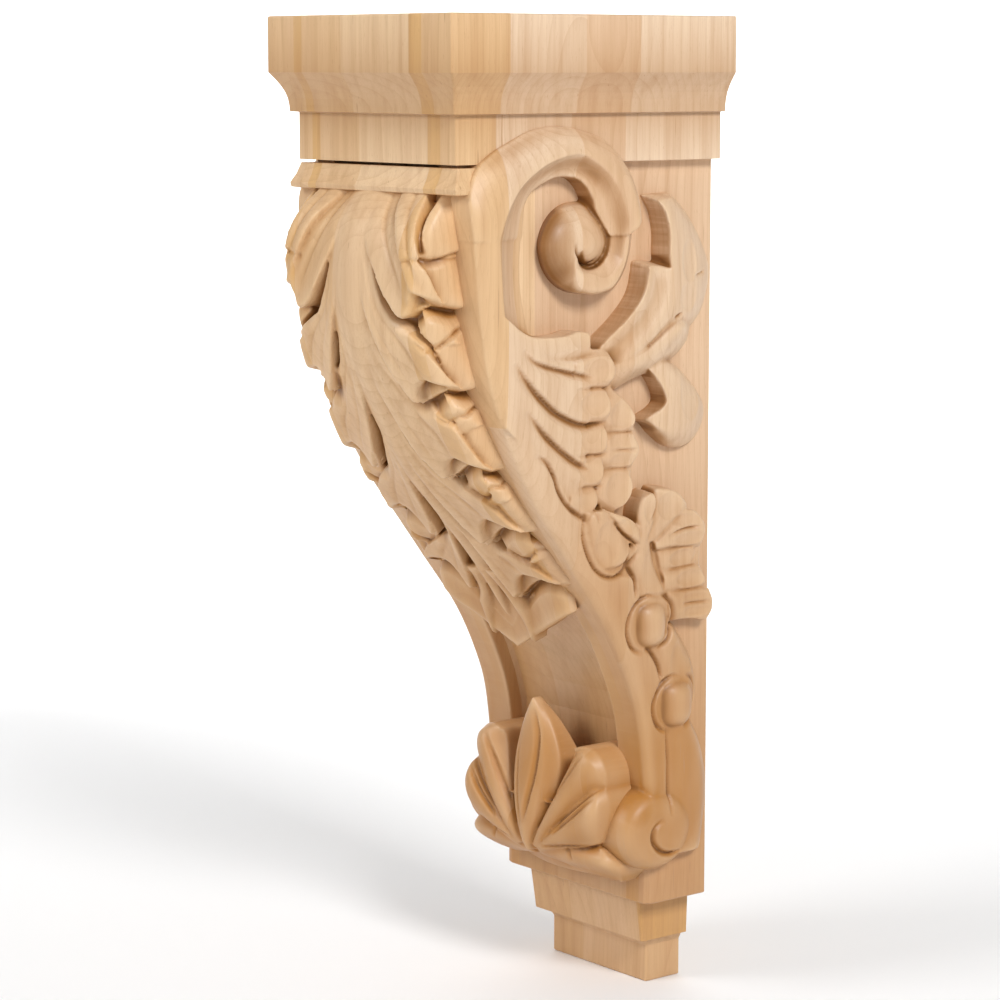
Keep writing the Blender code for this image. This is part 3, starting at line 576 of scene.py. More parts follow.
CURL_STEM = (
    [(-84, 374), (-64, 377), (-50, 386), (-40, 393), (-28, 396)],
    [(-82, 353), (-64, 360), (-46, 364), (-30, 373), (-18, 385)],
    [6, 8, 8, 7, 4], [3, 7.5, 8.5, 6.5, 2],
)
HOOK = (
    [(-62, 369, 9), (-54, 363, 12), (-47, 354, 13.5), (-44.5, 346.5, 14), (-49, 342, 14), (-56, 339, 13),
     (-60, 336, 11)],
    [(-44, 373, 6), (-27, 363, 4), (-12, 350, 2), (-6, 340, 2), (-8, 329, 2), (-18, 320, 3), (-34, 319, 5),
     (-47, 327, 7), (-54, 334, 9)],
    [0, 2.5, 4.2, 3.4, 0],
)
# Each rounded tip is two edges that run outwards; the layers and the pendant overlap like feathers.
FAN_TIPS = [
    ([(-114, 376), (-96, 378.5), (-84, 373)], [(-114, 359), (-96, 357), (-83, 360)]),
    ([(-114, 357.5), (-94, 356.5), (-86, 352)], [(-114, 340), (-94, 338.5), (-86, 342)]),
    ([(-114, 338), (-94, 337.5), (-88, 333)], [(-114, 322), (-94, 320), (-88, 324)]),
    ([(-114, 319.5), (-95, 319), (-90, 314)], [(-114, 304), (-97, 302.5), (-91, 307)]),
    ([(-114, 302.5), (-98, 302), (-92.5, 297)], [(-116, 290), (-104, 285.5), (-95, 290)]),
]
BACK_TIPS = [
    ([(-94, 354), (-80, 352.5), (-65, 341)], [(-94, 334), (-78, 332.5), (-66, 332)]),
    ([(-94, 331.5), (-72, 331), (-62, 325)], [(-94, 312.5), (-74, 311.5), (-62.5, 315)]),
    ([(-94, 311), (-74, 310.5), (-65.5, 304)], [(-94, 293), (-82, 287.5), (-67, 292)]),
]
PENDANT = [
    ([(-104, 288), (-103, 278), (-98.5, 266), (-91, 257), (-83, 253)],
     [(-90, 290), (-84, 283), (-76, 273.5), (-69.5, 265), (-70, 258)]),
    ([(-92, 290), (-84, 282), (-76, 274), (-69, 268), (-64, 264)],
     [(-84, 287), (-74, 284), (-66, 279), (-63, 272)]),
]
# The shell's ribs, each with its own level.
SHELL = [
    ([(-64, 266), (-65, 280), (-63, 291), (-57, 298)], [(-58, 268), (-53, 279), (-51, 289), (-53, 297)], 9.6),
    ([(-60, 268), (-53, 284), (-51, 297), (-45, 299.5)], [(-50, 268), (-38, 276.5), (-27, 284), (-29, 294)],
     8.6),
    ([(-52, 267), (-38, 277), (-26, 283.5), (-14, 280)], [(-50, 262.7), (-33, 262.5), (-17, 262), (-10, 269)],
     9.4),
    ([(-48, 263), (-30, 262.5), (-17, 262)], [(-44, 249), (-30, 249), (-18, 252.5)], 8.0),
    ([(-44, 250), (-30, 250.5), (-18, 252), (-10, 243)], [(-42, 237), (-24, 237), (-8.5, 238)], 8.8),
    ([(-40, 238), (-20, 237.5), (-9, 237), (-3.5, 231)], [(-38, 221), (-20, 220), (-9.5, 218), (-4, 222)],
     9.4),
]
# Ground under the scallops and under the shell, so that no joint is open to the panel.
GROUNDS = [
    ([(-108, 372), (-100, 350), (-100, 320), (-104, 292)], [(-78, 352), (-68, 338), (-66, 318), (-72, 294)]),
    ([(-60, 270), (-54, 250), (-46, 232), (-40, 220)], [(-20, 280), (-14, 262), (-14, 240), (-10, 222)]),
]
GROUND_SECTION = [6.6, 6.9, 7.0, 6.9, 6.4]
TIP_SECTION = (0.86, 0.99, 1.0, 0.99, 0.86)


def tips(bm, rows, level):
    """Rounded tips, each between two edges that run outwards."""
    for left, right in rows:
        strip(bm, proud_chart, left, right, [level * k for k in TIP_SECTION], fall=(0, 0.1),
              swell=0.12, rows=16, cols=12)


def side_leaves(bm):
    """The fan that springs from the rim, the curling leaves behind it and the shell below."""
    strip(bm, proud_chart, *FAN, low=(-PANEL_BURIED, -SUNK), fall=(0, 0.04), swell=0, rows=40, cols=30)
    tips(bm, FAN_TIPS, 9.3)
    for left, right in GROUNDS:
        strip(bm, proud_chart, left, right, GROUND_SECTION, fall=(0, 0), swell=0, rows=16)
    tips(bm, BACK_TIPS, 7.8)
    tips(bm, PENDANT, 10.4)
    strip(bm, flat_chart, *UPPER_CURL, fall=(0, 0.06), swell=0, rows=28)
    strip(bm, flat_chart, *LOWER_CURL, fall=(0, 0.05), swell=0.02, rows=28)
    strip(bm, side_chart, *CURL_STEM, swell=0.12)
    strip(bm, flat_chart, *HOOK, fall=(0.06, 0.06), swell=0.0, rows=32, cols=16)
    for left, right, level in SHELL:
        tips(bm, [(left, right)], level)


print("tips", sum(len(rows) for rows in (FAN_TIPS, BACK_TIPS, PENDANT, SHELL)))

# %% [markdown]
# ## Beads and husks
# Down the back of each side run three husk stems with two round beads between them, the last stem ending
# behind the roll at the foot.

# %% Beads and husks
# The beads: depth, height above the foot, radius; and how far they stand out past the scroll.
BEADS = [(-52.5, 220.5, 14.0), (-31, 172.0, 14.2)]
BEAD_TOP = 5.4
HUSK_SECTION = [8.2, 9.6, 9.4, 8.2, 2.0]
HUSKS = [
    ([(-66, 274), (-70.5, 260), (-65.5, 247.7), (-62.5, 238.9), (-61, 228)],
     [(-57, 276), (-49.9, 265.4), (-43, 250.3), (-36.3, 238), (-32.5, 229), (-31.5, 220), (-40, 209)]),
    ([(-52, 212), (-47, 200), (-42.5, 189), (-40, 178)],
     [(-32, 221), (-19.6, 204.1), (-13.2, 191.7), (-10.8, 177), (-13, 168), (-24, 160)]),
    ([(-40, 172), (-37, 150), (-36.3, 119.4), (-36.3, 84)],
     [(-16, 162), (-7.9, 147.6), (-3.4, 132.6), (-1.8, 118), (-3, 104), (-6, 84)]),
]


def husks(bm):
    """Two beads and the three husk stems that run down the back of each side."""
    for left, right in HUSKS:
        strip(bm, proud_chart, left, right, HUSK_SECTION, fall=(0.08, 0), swell=0, rows=30)
    for y, z, radius in BEADS:
        top = relief(z) + BEAD_TOP
        boulder(bm, Vector((PANEL_HALF_WIDTH, y, z)), (top, radius, radius), power=3.2, square=2.0, steps=40)


print("beads", len(BEADS), "husks", len(HUSKS))

# %% [markdown]
# ## Cuts on the side
# The veins of the fan, the outlines of beads and stems, and the gaps between scallops are cuts, not forms.
# Each is a drawn line with its own depth and a width to either side, so a cut can have one steep wall and
# one soft one.

# %% Side cuts
# Gouge cuts on the side: points as depth and height above the foot, how deep, and how wide the cut is to the
# left and to the right of its run.
SIDE_CUTS = [
    ([(-151, 382), (-144, 375.6), (-133.6, 371.5), (-115.9, 367), (-96, 363)], 3.4, 1.3, 4.5),
    ([(-157, 376), (-148.7, 366), (-136.6, 354.3), (-124.5, 345.2), (-107.9, 338.7), (-88, 338.2)],
     4.6, 1.3, 6),
    ([(-148, 349), (-136.1, 336.7), (-123.8, 326.3), (-110.6, 317.4), (-96, 310.5)], 4.0, 1.3, 5),
    ([(-135, 378), (-126.6, 374.8), (-108.9, 374.6), (-94, 378)], 1.6, 5, 1.6),
    ([(-113, 357.5), (-99, 357.5), (-86, 357)], 1.6, 1.2, 2),
    ([(-112, 321), (-99, 320.5), (-87, 320.5)], 2.0, 1.2, 2),
    ([(-110, 303), (-98, 302.5), (-90, 303)], 2.0, 1.2, 2),
    ([(-85, 322.3), (-65, 320.6)], 3.2, 1.1, 1.1), ([(-89, 332), (-64, 330.5)], 2.4, 1.2, 1.5),
    ([(-90, 311.8), (-64, 310.5)], 2.4, 1.2, 1.5),
    ([(-84.5, 283), (-74, 273.4), (-63.5, 266.6)], 4.0, 1.2, 1.2),
    ([(-98, 290.5), (-95, 283)], 2.4, 1.0, 1.0),
    ([(-43, 269.8), (-29.7, 273.1), (-18.5, 273.5)], 3.2, 1.2, 1.6),
    ([(-29.5, 229.9), (-8, 229.1)], 3.2, 1.2, 1.2),
    ([(-45, 263.2), (-16, 262.2)], 2.0, 1.0, 1.6), ([(-40, 250), (-16, 251.5)], 2.4, 1.2, 1.2),
    ([(-36, 237.6), (-7, 237.2)], 2.2, 1.2, 1.2),
    ([(-60, 276), (-52.5, 284), (-51, 291), (-54, 298)], 1.6, 1.0, 1.6),
    ([(-113.5, 437), (-112, 431), (-107, 427), (-100.1, 425.4), (-94, 427.6)], 4.5, 1.6, 1.6),
    ([(-22, 415), (-10, 417)], 2.4, 1.2, 1.2), ([(-40, 392.5), (-33, 395)], 2.4, 1.4, 1.4),
    ([(-48, 237.5), (-39, 233), (-35.8, 222), (-39, 211.5), (-47, 206)], 4.4, 2.4, 1.6),
    ([(-27, 189.5), (-18, 184.5), (-14.8, 174), (-18, 163.5), (-26, 158)], 4.4, 2.4, 1.6),
    # Round the beads, down the stems, and along the lower edge of the fan and the pendant.
    ([(-45, 235), (-56, 236.8), (-65.5, 231), (-69.8, 220), (-66, 209), (-58, 204)], 4.2, 1.2, 2.2),
    ([(-24, 186.5), (-35, 188.4), (-44, 182), (-48.6, 172), (-45, 161), (-36, 156)], 4.2, 1.2, 2.2),
    ([(-73, 262), (-70.5, 256), (-65.2, 247.7), (-63.5, 237)], 3.6, 1.0, 2.6),
    ([(-57, 208), (-51.2, 204.7), (-45.6, 197), (-42.5, 188)], 3.6, 1.0, 2.6),
    ([(-41, 162), (-38.6, 158.1), (-37, 142), (-36.3, 119.4), (-36.3, 108)], 3.0, 1.0, 2.0),
    ([(-142.5, 324.1), (-133.3, 320.4), (-126.7, 311.7), (-122.7, 302.1), (-115.2, 293), (-103.3, 285)],
     3.6, 1.0, 3.0),
    ([(-104, 290), (-105, 278), (-101.9, 268), (-95, 257), (-86, 251.5), (-77, 252), (-69.5, 258.6),
      (-62.5, 266)], 4.2, 1.0, 2.6),
    ([(-103, 284), (-98, 289), (-92, 290), (-84.2, 286)], 2.2, 1.4, 1.0),
    # The curl on the end of the roll.
    ([(-41.5, 106.5), (-48.5, 102), (-50, 96), (-46, 90), (-39, 86.6), (-28, 86)], 4.4, 1.2, 3.0),
]
# Shallow scoops of a round gouge on the side: centre, half length and half height, depth.
SIDE_SCOOPS = [
    (-97, 367.5, 12, 6.5, 1.7), (-98, 349, 12, 7, 1.9), (-98, 329.5, 11, 7.5, 1.9), (-100, 312.5, 9, 7, 1.8),
    (-101, 296.5, 8, 7.5, 1.8), (-77, 341, 9, 8, 1.8), (-76, 326.6, 10, 4.4, 1.4), (-76, 316, 9, 4, 1.2),
    (-78, 299.5, 10, 9.5, 2.0), (-88, 270, 9, 13, 1.8), (-73, 279, 9, 4.5, 1.5), (-57, 287, 4.5, 8, 1.6),
    (-41, 287, 9, 8, 2.0), (-28, 278, 11, 3.6, 1.4), (-26, 267.5, 12, 3.8, 1.4), (-28, 256, 11, 5, 1.8),
    (-23, 244, 11, 5, 1.8), (-19, 233, 10, 3, 1.2), (-18, 225, 10, 3.6, 1.4), (-125, 396, 9, 2.5, 1.0),
    (-27, 424, 7, 12, 1.6), (-28, 404, 8, 8, 1.2), (-88, 395, 8, 6, 1.0), (-24, 348, 9, 14, 1.6),
    (-52, 252, 9, 14, 1.2), (-28, 196, 9, 14, 1.2),
]


print("side cuts", len(SIDE_CUTS), "scoops", len(SIDE_SCOOPS))

# %% [markdown]
# ## The roll
# The scroll's lower end rolls up into a short drum that lies across the foot of the side. A ball with a
# high power in its radii has the drum's flat end and soft rim.

# %% Roll
ROLL_CENTRE = (-43.5, 100.0)
ROLL_RADII = (27.0, 24.5)
ROLL_MIDDLE = 50.0
ROLL_HALF_LENGTH = 26.5
# The higher this power, the flatter the roll's end and the tighter its rim.
ROLL_POWER = 4.6


def roll(bm):
    """The roll at the foot of the scroll; the curl on its end is one of the side cuts."""
    ring = bmesh.ops.create_uvsphere(bm, u_segments=40, v_segments=32, radius=1.0)["verts"]
    for vert in ring:
        radial = math.hypot(vert.co.x, vert.co.y)
        size = (radial ** ROLL_POWER + abs(vert.co.z) ** ROLL_POWER) ** (-1 / ROLL_POWER)
        vert.co = Vector((ROLL_MIDDLE + ROLL_HALF_LENGTH * vert.co.z * size,
                          ROLL_CENTRE[0] + ROLL_RADII[0] * vert.co.x * size,
                          ROLL_CENTRE[1] + ROLL_RADII[1] * vert.co.y * size)) * MM


print("roll", ROLL_CENTRE)

# %% [markdown]
# ## The front leaf
# An acanthus leaf hangs under the drip moulding: a midrib, six blades a side that end in pads round the
# corner, and small ridged pads in the pockets between. Every blade is drawn by its lower and upper edge on
# the leaf chart, which wraps round the corner, so that the flank is carved with the front as one form.

# %% Front leaf
# The front leaf's blades from the top, as distance from the midrib, height above the foot and height above
# the leaf's ground: the lower edge of each, from the midrib to the lip over a pocket, its upper edge, and
# how far the middle of its end is drawn back.
BLADES = [
    ([(22, 474, 0), (28, 460, 1), (38, 446.5, 2), (46, 432, 2.5), (52, 420, 3), (57, 412, 4)],
     [(46, 474, 1), (50, 462, 1.5), (55, 448, 2), (59, 434, 2.5), (63, 423.5, 3), (66.5, 414, 3.5),
      (71.5, 405, 3.5)], 0.0),
    ([(4, 474, 0), (9, 456, 0.5), (15, 437, 1), (24.5, 421, 1.5), (37, 404.5, 2.5), (45, 399, 3.5),
      (51, 399.5, 4.5)],
     [(22, 474, 0), (29, 459, -1), (37, 446, -1), (45, 432, -0.5), (51, 420, 1), (56, 411, 3.5)], 0.0),
    ([(8, 432, 0), (12, 410, 1), (17, 393, 2), (24.5, 375.5, 3), (33, 359, 4), (39, 352, 4.5),
      (45, 353.5, 5)],
     [(19, 427, 0), (25, 410, 0), (33, 398, 0), (42, 394, 0.5), (54.5, 385.5, 2), (60.5, 375, 3),
      (64, 365.5, 3.5), (70, 359.5, 3.5)], 0.16),
    ([(5, 388, 0), (7, 368, 1), (10, 351.5, 2), (17, 330.5, 3), (26, 314, 4), (32, 308, 4.5), (38, 310.5, 5)],
     [(16, 386, 0), (22, 371.5, 0), (30, 364, 0), (40.5, 354.5, 0.5), (48, 346, 1.5), (56.5, 340, 2.5),
      (60, 328, 3), (62, 319, 3.5), (65.5, 314, 3.5)], 0.16),
    ([(4, 342, 0), (5, 322, 1), (8, 300, 2), (13, 285.5, 3), (18, 273, 4), (23, 267.5, 4.5),
      (27.5, 270.5, 5)],
     [(8, 340, 0), (11, 329.5, 0), (16, 319, 0), (24, 309, 0.5), (33.5, 305.5, 1), (43.5, 300, 2),
      (52, 293.5, 3), (55, 286, 3.5), (59.5, 278, 3.5)], 0.18),
    ([(3, 302, 0), (4, 284, 1), (8, 268, 2), (12, 255, 3), (16, 241, 3.5), (20, 234, 4), (24, 236.5, 4.5)],
     [(5, 302, 0), (7, 285, 0), (11, 271, 0), (20, 266.5, 0), (28, 264, 0.5), (40, 260.5, 1.5),
      (48, 257.5, 2.5), (55, 253, 3), (61, 246, 3)], 0.18),
]
# The pads on the flank that end the blades: front edge and rear edge.
FLANK_PADS = [
    ([(57, 472), (58.5, 452), (60, 442), (65.5, 429.5)], [(90, 472), (90, 450), (88, 429)]),
    ([(60, 433), (64.5, 423), (66.5, 413), (71.5, 404.5)], [(90, 434), (90, 420), (88, 402)]),
    ([(60, 389), (62.5, 382), (64, 372), (66, 364), (71, 358)], [(88, 394), (88, 378), (86, 362)]),
    ([(57, 344), (60, 336), (61, 327), (62, 319), (66, 313)], [(86, 350), (84, 332), (82, 317)]),
    ([(49, 301), (53, 294), (55, 287), (59.5, 277.5)], [(80, 310), (76, 294), (74, 280)]),
    ([(44, 263), (48, 257), (55, 252), (61, 245)], [(76, 274), (73, 258), (70, 244)]),
]
# The small ridged pads between them, deep at the top, where the blade above hoods a pocket.
SMALL_PADS = [
    ([(52, 412), (49, 403), (49, 396), (55, 390), (62, 384)], [(90, 412), (90, 400), (86, 384)]),
    ([(46, 368), (42, 359), (44, 350), (51, 343), (58, 336)], [(88, 368), (86, 355), (80, 342)]),
    ([(38, 324), (36, 315), (38, 306), (44, 299), (50, 293)], [(84, 324), (80, 312), (74, 302)]),
    ([(28, 286), (25, 277), (28, 268), (35, 262), (43, 256)], [(78, 286), (72, 275), (66, 266)]),
]
PAD_SWELL = [0.2, 3.4, 5.0, 4.6, 1.5]
SMALL_PAD_RISE = [0, 4, 3, 1.5, 0]
SMALL_PAD_TOP = [-0.5, 1.0, 4.0, 1.6, 0]
POCKET_DEPTH = -9.0
# How deep the leaf's core reaches, and its blades, pads and ridges.
CORE_SUNK = -40
RIB_SUNK = -14
PAD_SUNK = -10


def front_leaf(bm):
    """The acanthus leaf under the drip moulding: core, midrib, blades, pads and tip."""
    strip(bm, leaf_chart, [(-54, 474), (-54, 400), (-52, 320), (-44, 260), (-10, 214)],
          [(54, 474), (54, 400), (52, 320), (44, 260), (10, 214)], [-9, -6, -5, -6, -9],
          low=(CORE_SUNK, CORE_SUNK), rows=24)
    strip(bm, leaf_chart, [(-22, 474), (-20, 430), (-18, 390), (-12, 340), (-8, 280), (-4, 220)],
          [(22, 474), (20, 430), (18, 390), (12, 340), (8, 280), (4, 220)], [-1, 1.2, 2, 1.2, -1],
          low=(RIB_SUNK, RIB_SUNK), rows=30)
    for mirror in (1, -1):
        for lower, upper, arch in BLADES:
            strip(bm, leaf_chart, lower, upper, [0, 1.0, 0.6, 0, -0.4], [0.2, -0.6, -1.2, -0.2, 0.2],
                  low=(-12, -10), fall=(0, 0.05), swell=0, arch=arch, mirror=mirror, rows=40, cols=16)
        for front, rear in FLANK_PADS:
            strip(bm, leaf_chart, front, rear, [-1.5, 0, 1, 0, -1], PAD_SWELL, low=(PAD_SUNK, PAD_SUNK),
                  fall=(0, 0.2), swell=0.06, mirror=mirror, rows=20, cols=14)
        for front, rear in SMALL_PADS:
            front = [(*place, rise) for place, rise in zip(front, SMALL_PAD_RISE)]
            rear = [(*place, rise) for place, rise in zip(rear, SMALL_PAD_RISE[::2])]
            strip(bm, leaf_chart, front, rear, [POCKET_DEPTH] * 5, SMALL_PAD_TOP, low=(-16, RIB_SUNK),
                  fall=(0, 0.06), swell=0, mirror=mirror, rows=24, cols=16)
        strip(bm, leaf_chart, [(0, 262), (0, 235), (0, 201)], [(58, 258), (66, 246), (62, 231)],
              [-5, -6, -6, -6, -5], [0, 1.5, 2, 3.5, 0], low=(-24, -24), fall=(0, 0.12), swell=0,
              mirror=mirror, rows=20, cols=16)
        strip(bm, leaf_chart, [(2, 250), (8, 235), (14, 218), (17, 205)],
              [(14, 250), (20, 235), (22, 220), (19, 207)], [0, 2, 2.5, 2, 0], low=(PAD_SUNK, PAD_SUNK),
              swell=0.2, mirror=mirror)


print("blades", len(BLADES), "pads", len(FLANK_PADS) + len(SMALL_PADS))

# %% [markdown]
# ## The palmette
# A pointed lobe stands between two blunt ones and a pair of long drops, fanned from one point at the foot.

# %% Palmette
# The lobes on one side: two edges as distance from the middle and height above the foot, the heights across
# the lobe at its root and at its tip, and how deep it reaches.
LOBES = [
    ([(4, 84), (17, 108), (27, 131), (37, 155)], [(9, 82), (30, 100), (48, 117), (65, 133)],
     [0, 2, 2, 2, 0], [-5, 4, 8, 6, 0], -30),
    ([(8, 84), (27, 101), (44, 119), (60, 134)], [(10, 79), (28, 86), (46, 90), (63, 96)],
     [0, 2, 2, 2, 0], [1, 8, 11, 9, 3], -30),
    ([(4, 84), (20, 88), (40, 90), (63, 90)], [(6, 75), (22, 72), (44, 67), (63, 69)],
     [-4, -1, 0, -1, -4], [-3, 4, 6, 3, -5], -26),
]
PALMETTE_SUNK = -44


def palmette(bm):
    """The shell of lobes at the foot of the front, and the ground that they stand on."""
    for mirror in (1, -1):
        for left, right, root, tip, low in LOBES:
            strip(bm, palmette_chart, left, right, root, tip, low=(low, low), fall=(0, 0.16), swell=0.14,
                  mirror=mirror, rows=26, cols=16)
    strip(bm, palmette_chart, [(-4, 80), (-16, 108), (-20, 132), (-12, 155), (0, 170)],
          [(4, 80), (16, 108), (20, 132), (12, 155), (1, 170)], [-6, 1, 3, 4, 3, 1, -6],
          [-4, 0, 1, 1, 1, 0, -4], low=(PALMETTE_SUNK, -6), swell=0, fall=(0, 0))
    strip(bm, palmette_chart, [(-50, 66), (-52, 90), (-48, 112)], [(50, 66), (52, 90), (48, 112)],
          [-14, -9, -7, -9, -14], low=(PALMETTE_SUNK, PALMETTE_SUNK))


print("palmette lobes", 2 * len(LOBES) + 1)

# %% [markdown]
# ## Cuts on the palmette and the leaf
# Each lobe of the palmette has a groove along it, and every blade of the leaf hoods a pocket that is cut in
# under its lower edge. Shallow veins follow the blades.

# %% Palmette and leaf cuts
# Gouge cuts on the palmette: points as distance from the middle and height above the foot, depth, widths.
PALMETTE_CUTS = [
    ([(1, 168), (5, 157), (7.5, 145), (6, 122), (0, 96)], 2.6, 1.6, 4.0),
    ([(-9, 150), (-10.5, 132), (-6, 108), (-2, 94)], 1.4, 2.0, 1.2),
]
LOBE_CUTS = [
    ([(45, 143), (31, 125), (14, 102)], 2.8, 1.2, 3.0), ([(57, 121), (43, 108), (26, 95)], 2.8, 1.2, 3.0),
    ([(62, 131), (44, 114), (24, 97)], 2.4, 1.4, 1.4), ([(24, 130), (19, 112), (9, 94)], 2.4, 1.4, 1.4),
    ([(56, 92), (34, 89), (14, 85)], 2.4, 1.4, 1.4), ([(36, 80), (32, 88)], 1.6, 2.0, 2.0),
]
# Gouge cuts on the front leaf: points as distance from the midrib round the leaf and height above the foot.
# The lower edge of every blade hoods a pocket, and a shallower step tops the pad beneath.
LEAF_CUTS = [
    ([(44, 428), (52, 430), (60, 431), (68, 430), (78, 433), (90, 435)], 3.0, 0.9, 5.0),
    ([(33, 410), (39, 402), (45, 398.5), (51, 400), (58, 405), (66, 405.5), (74, 404), (88, 402)],
     5.0, 0.9, 9.0),
    ([(50, 386), (58, 381), (66, 384), (74, 389), (86, 394)], 3.0, 3.0, 0.9),
    ([(30, 364), (35, 355), (39, 351.5), (45, 353.5), (53, 357), (62, 360), (71, 358.5), (84, 361)],
     5.0, 0.9, 9.0),
    ([(44, 347), (52, 341), (60, 343), (70, 348), (82, 352)], 3.0, 3.0, 0.9),
    ([(23, 319), (28, 311), (32, 307.5), (38, 310.5), (46, 315), (56, 318), (66, 313.5), (80, 317)],
     5.0, 0.9, 8.0),
    ([(40, 303), (48, 297), (56, 300), (66, 306), (76, 311)], 3.0, 3.0, 0.9),
    ([(16, 277), (20, 269.5), (23, 267), (27.5, 270.5), (36, 276), (46, 279.5), (56, 279), (64, 277),
      (76, 281)], 5.5, 0.9, 7.5),
    ([(32, 266), (40, 260), (48, 260), (58, 265), (68, 270)], 2.6, 3.0, 0.9),
    ([(13, 247), (17, 237), (20, 233.5), (24, 236.5), (34, 243), (46, 247), (58, 246), (70, 248)],
     5.5, 0.9, 7.0),
]
# The veins of each blade, as shares of its width, their depth and width.
VEINS = [(0.22, 0.6, 3.0), (0.6, 1.0, 3.6)]
# The top blades, narrower than the others, have the second vein alone.
ONE_VEINED = 2


print("leaf cuts", len(LEAF_CUTS), "palmette cuts", len(PALMETTE_CUTS) + 2 * len(LOBE_CUTS))

# %% [markdown]
# ## The block's outlines
# The block is a stack of plans, from the foot to the cap, with a ring of corners at every height where a
# moulding starts or ends. The panel's front follows the scroll, and the field between the cheeks is sunk.

# %% Block outlines
CORNER_STEPS = 3


def plan(z, half, depth, corner, sink=0.0, ends=None):
    """A plan outline of the block at a height, with rounded front corners and a sunk field between cheeks.

    ends is the half width behind DRIP_BACK where it differs from that in front.
    """
    behind = ends or half
    right = [(behind, 0), (behind, -DRIP_BACK), (half, -DRIP_BACK)]
    if depth < DRIP_BACK:
        right[1:] = [(half, -depth / 2), (half, -depth / 2)]
    for k in range(CORNER_STEPS + 1):
        angle = math.pi / 2 * k / CORNER_STEPS
        right.append((half - corner + corner * math.cos(angle), -depth + corner - corner * math.sin(angle)))
    inner = min(CHEEK_INNER, half - corner - 1)
    right += [(inner, -depth), (inner - 0.5, -depth + sink * 0.75), (inner - 3, -depth + sink)]
    left = [(-x, y) for x, y in reversed(right)]
    return [Vector((x, y, z)) * MM for x, y in right + left]


def stack(bm, outlines):
    """Closes a body through a stack of outlines with the same number of points."""
    face = bm.faces.new([bm.verts.new(co) for co in outlines[0]])
    for number, outline in enumerate(outlines[1:]):
        raised = bmesh.ops.extrude_face_region(bm, geom=[face])["geom"]
        if number:
            bmesh.ops.delete(bm, geom=[face], context="FACES_ONLY")
        face = next(item for item in raised if isinstance(item, bmesh.types.BMFace))
        for vert, co in zip(face.verts, outline):
            vert.co = co
    bmesh.ops.remove_doubles(bm, verts=bm.verts, dist=0.0001 * MM)
    bmesh.ops.recalc_face_normals(bm, faces=bm.faces)


def panel_outline(z):
    """The side panels, the cheeks behind the scrolls and the sunk field at a height."""
    return plan(z, PANEL_HALF_WIDTH, rim_front(max(z, 112)) - 2, 1.0, FIELD_SINK - 2)


def block_outlines():
    """The block from foot to cap: foot, middle, base, the panel with its curved front, band and cap."""
    outlines = [
        plan(0, FOOT_HALF_WIDTH - EASE, FOOT_DEPTH - EASE, 1.0),
        plan(EASE, FOOT_HALF_WIDTH, FOOT_DEPTH, 1.5),
        plan(MIDDLE_BOTTOM - 5, FOOT_HALF_WIDTH, FOOT_DEPTH, 1.5),
        plan(MIDDLE_BOTTOM, FOOT_HALF_WIDTH + 2.5, FOOT_DEPTH + 2.5, 1.5),
        plan(MIDDLE_BOTTOM + LEDGE_FALL, MIDDLE_HALF_WIDTH, MIDDLE_DEPTH, 1.5),
        plan(BASE_BOTTOM, MIDDLE_HALF_WIDTH + 1.0, MIDDLE_DEPTH + 3.5, 1.5),
        plan(BASE_BOTTOM + LEDGE_FALL, PANEL_HALF_WIDTH - EASE, BASE_DEPTH - EASE, BASE_CORNER),
        plan(BASE_BOTTOM + LEDGE_FALL + EASE, PANEL_HALF_WIDTH, BASE_DEPTH, BASE_CORNER),
        plan(BASE_TOP, PANEL_HALF_WIDTH, BASE_DEPTH, BASE_CORNER),
    ]
    outlines += [panel_outline(z) for z in np.linspace(BASE_TOP + 30, DRIP_LEVELS[0][0], PANEL_LEVELS)]
    outlines += [plan(z, half, depth, 1.0, ends=PANEL_HALF_WIDTH) for z, half, depth in DRIP_LEVELS]
    outlines += [panel_outline(DRIP_LEVELS[-1][0]), panel_outline(BAND_BOTTOM)]
    front_band = CAP_DEPTH - BAND_INSET
    outlines += [
        plan(BAND_BOTTOM + LEDGE_FALL, CAP_HALF_WIDTH - BAND_INSET, front_band, 1.5),
        plan(COVE_BOTTOM, CAP_HALF_WIDTH - BAND_INSET, front_band, 1.5),
    ]
    for k in range(COVE_STEPS + 1):
        t = k / COVE_STEPS
        inset = COVE_INSET * (1 - t) + COVE_HOLLOW * math.sin(math.pi * t)
        z = COVE_BOTTOM + LEDGE_FALL + (SLAB_BOTTOM - COVE_BOTTOM - LEDGE_FALL) * t
        outlines.append(plan(z, CAP_HALF_WIDTH - inset, CAP_DEPTH - inset, 1.5))
    outlines += [
        plan(HEIGHT - EASE, CAP_HALF_WIDTH, CAP_DEPTH, 1.5),
        plan(HEIGHT, CAP_HALF_WIDTH - EASE, CAP_DEPTH - EASE, 1.0),
    ]
    return outlines


print("block", len(block_outlines()), "plans")
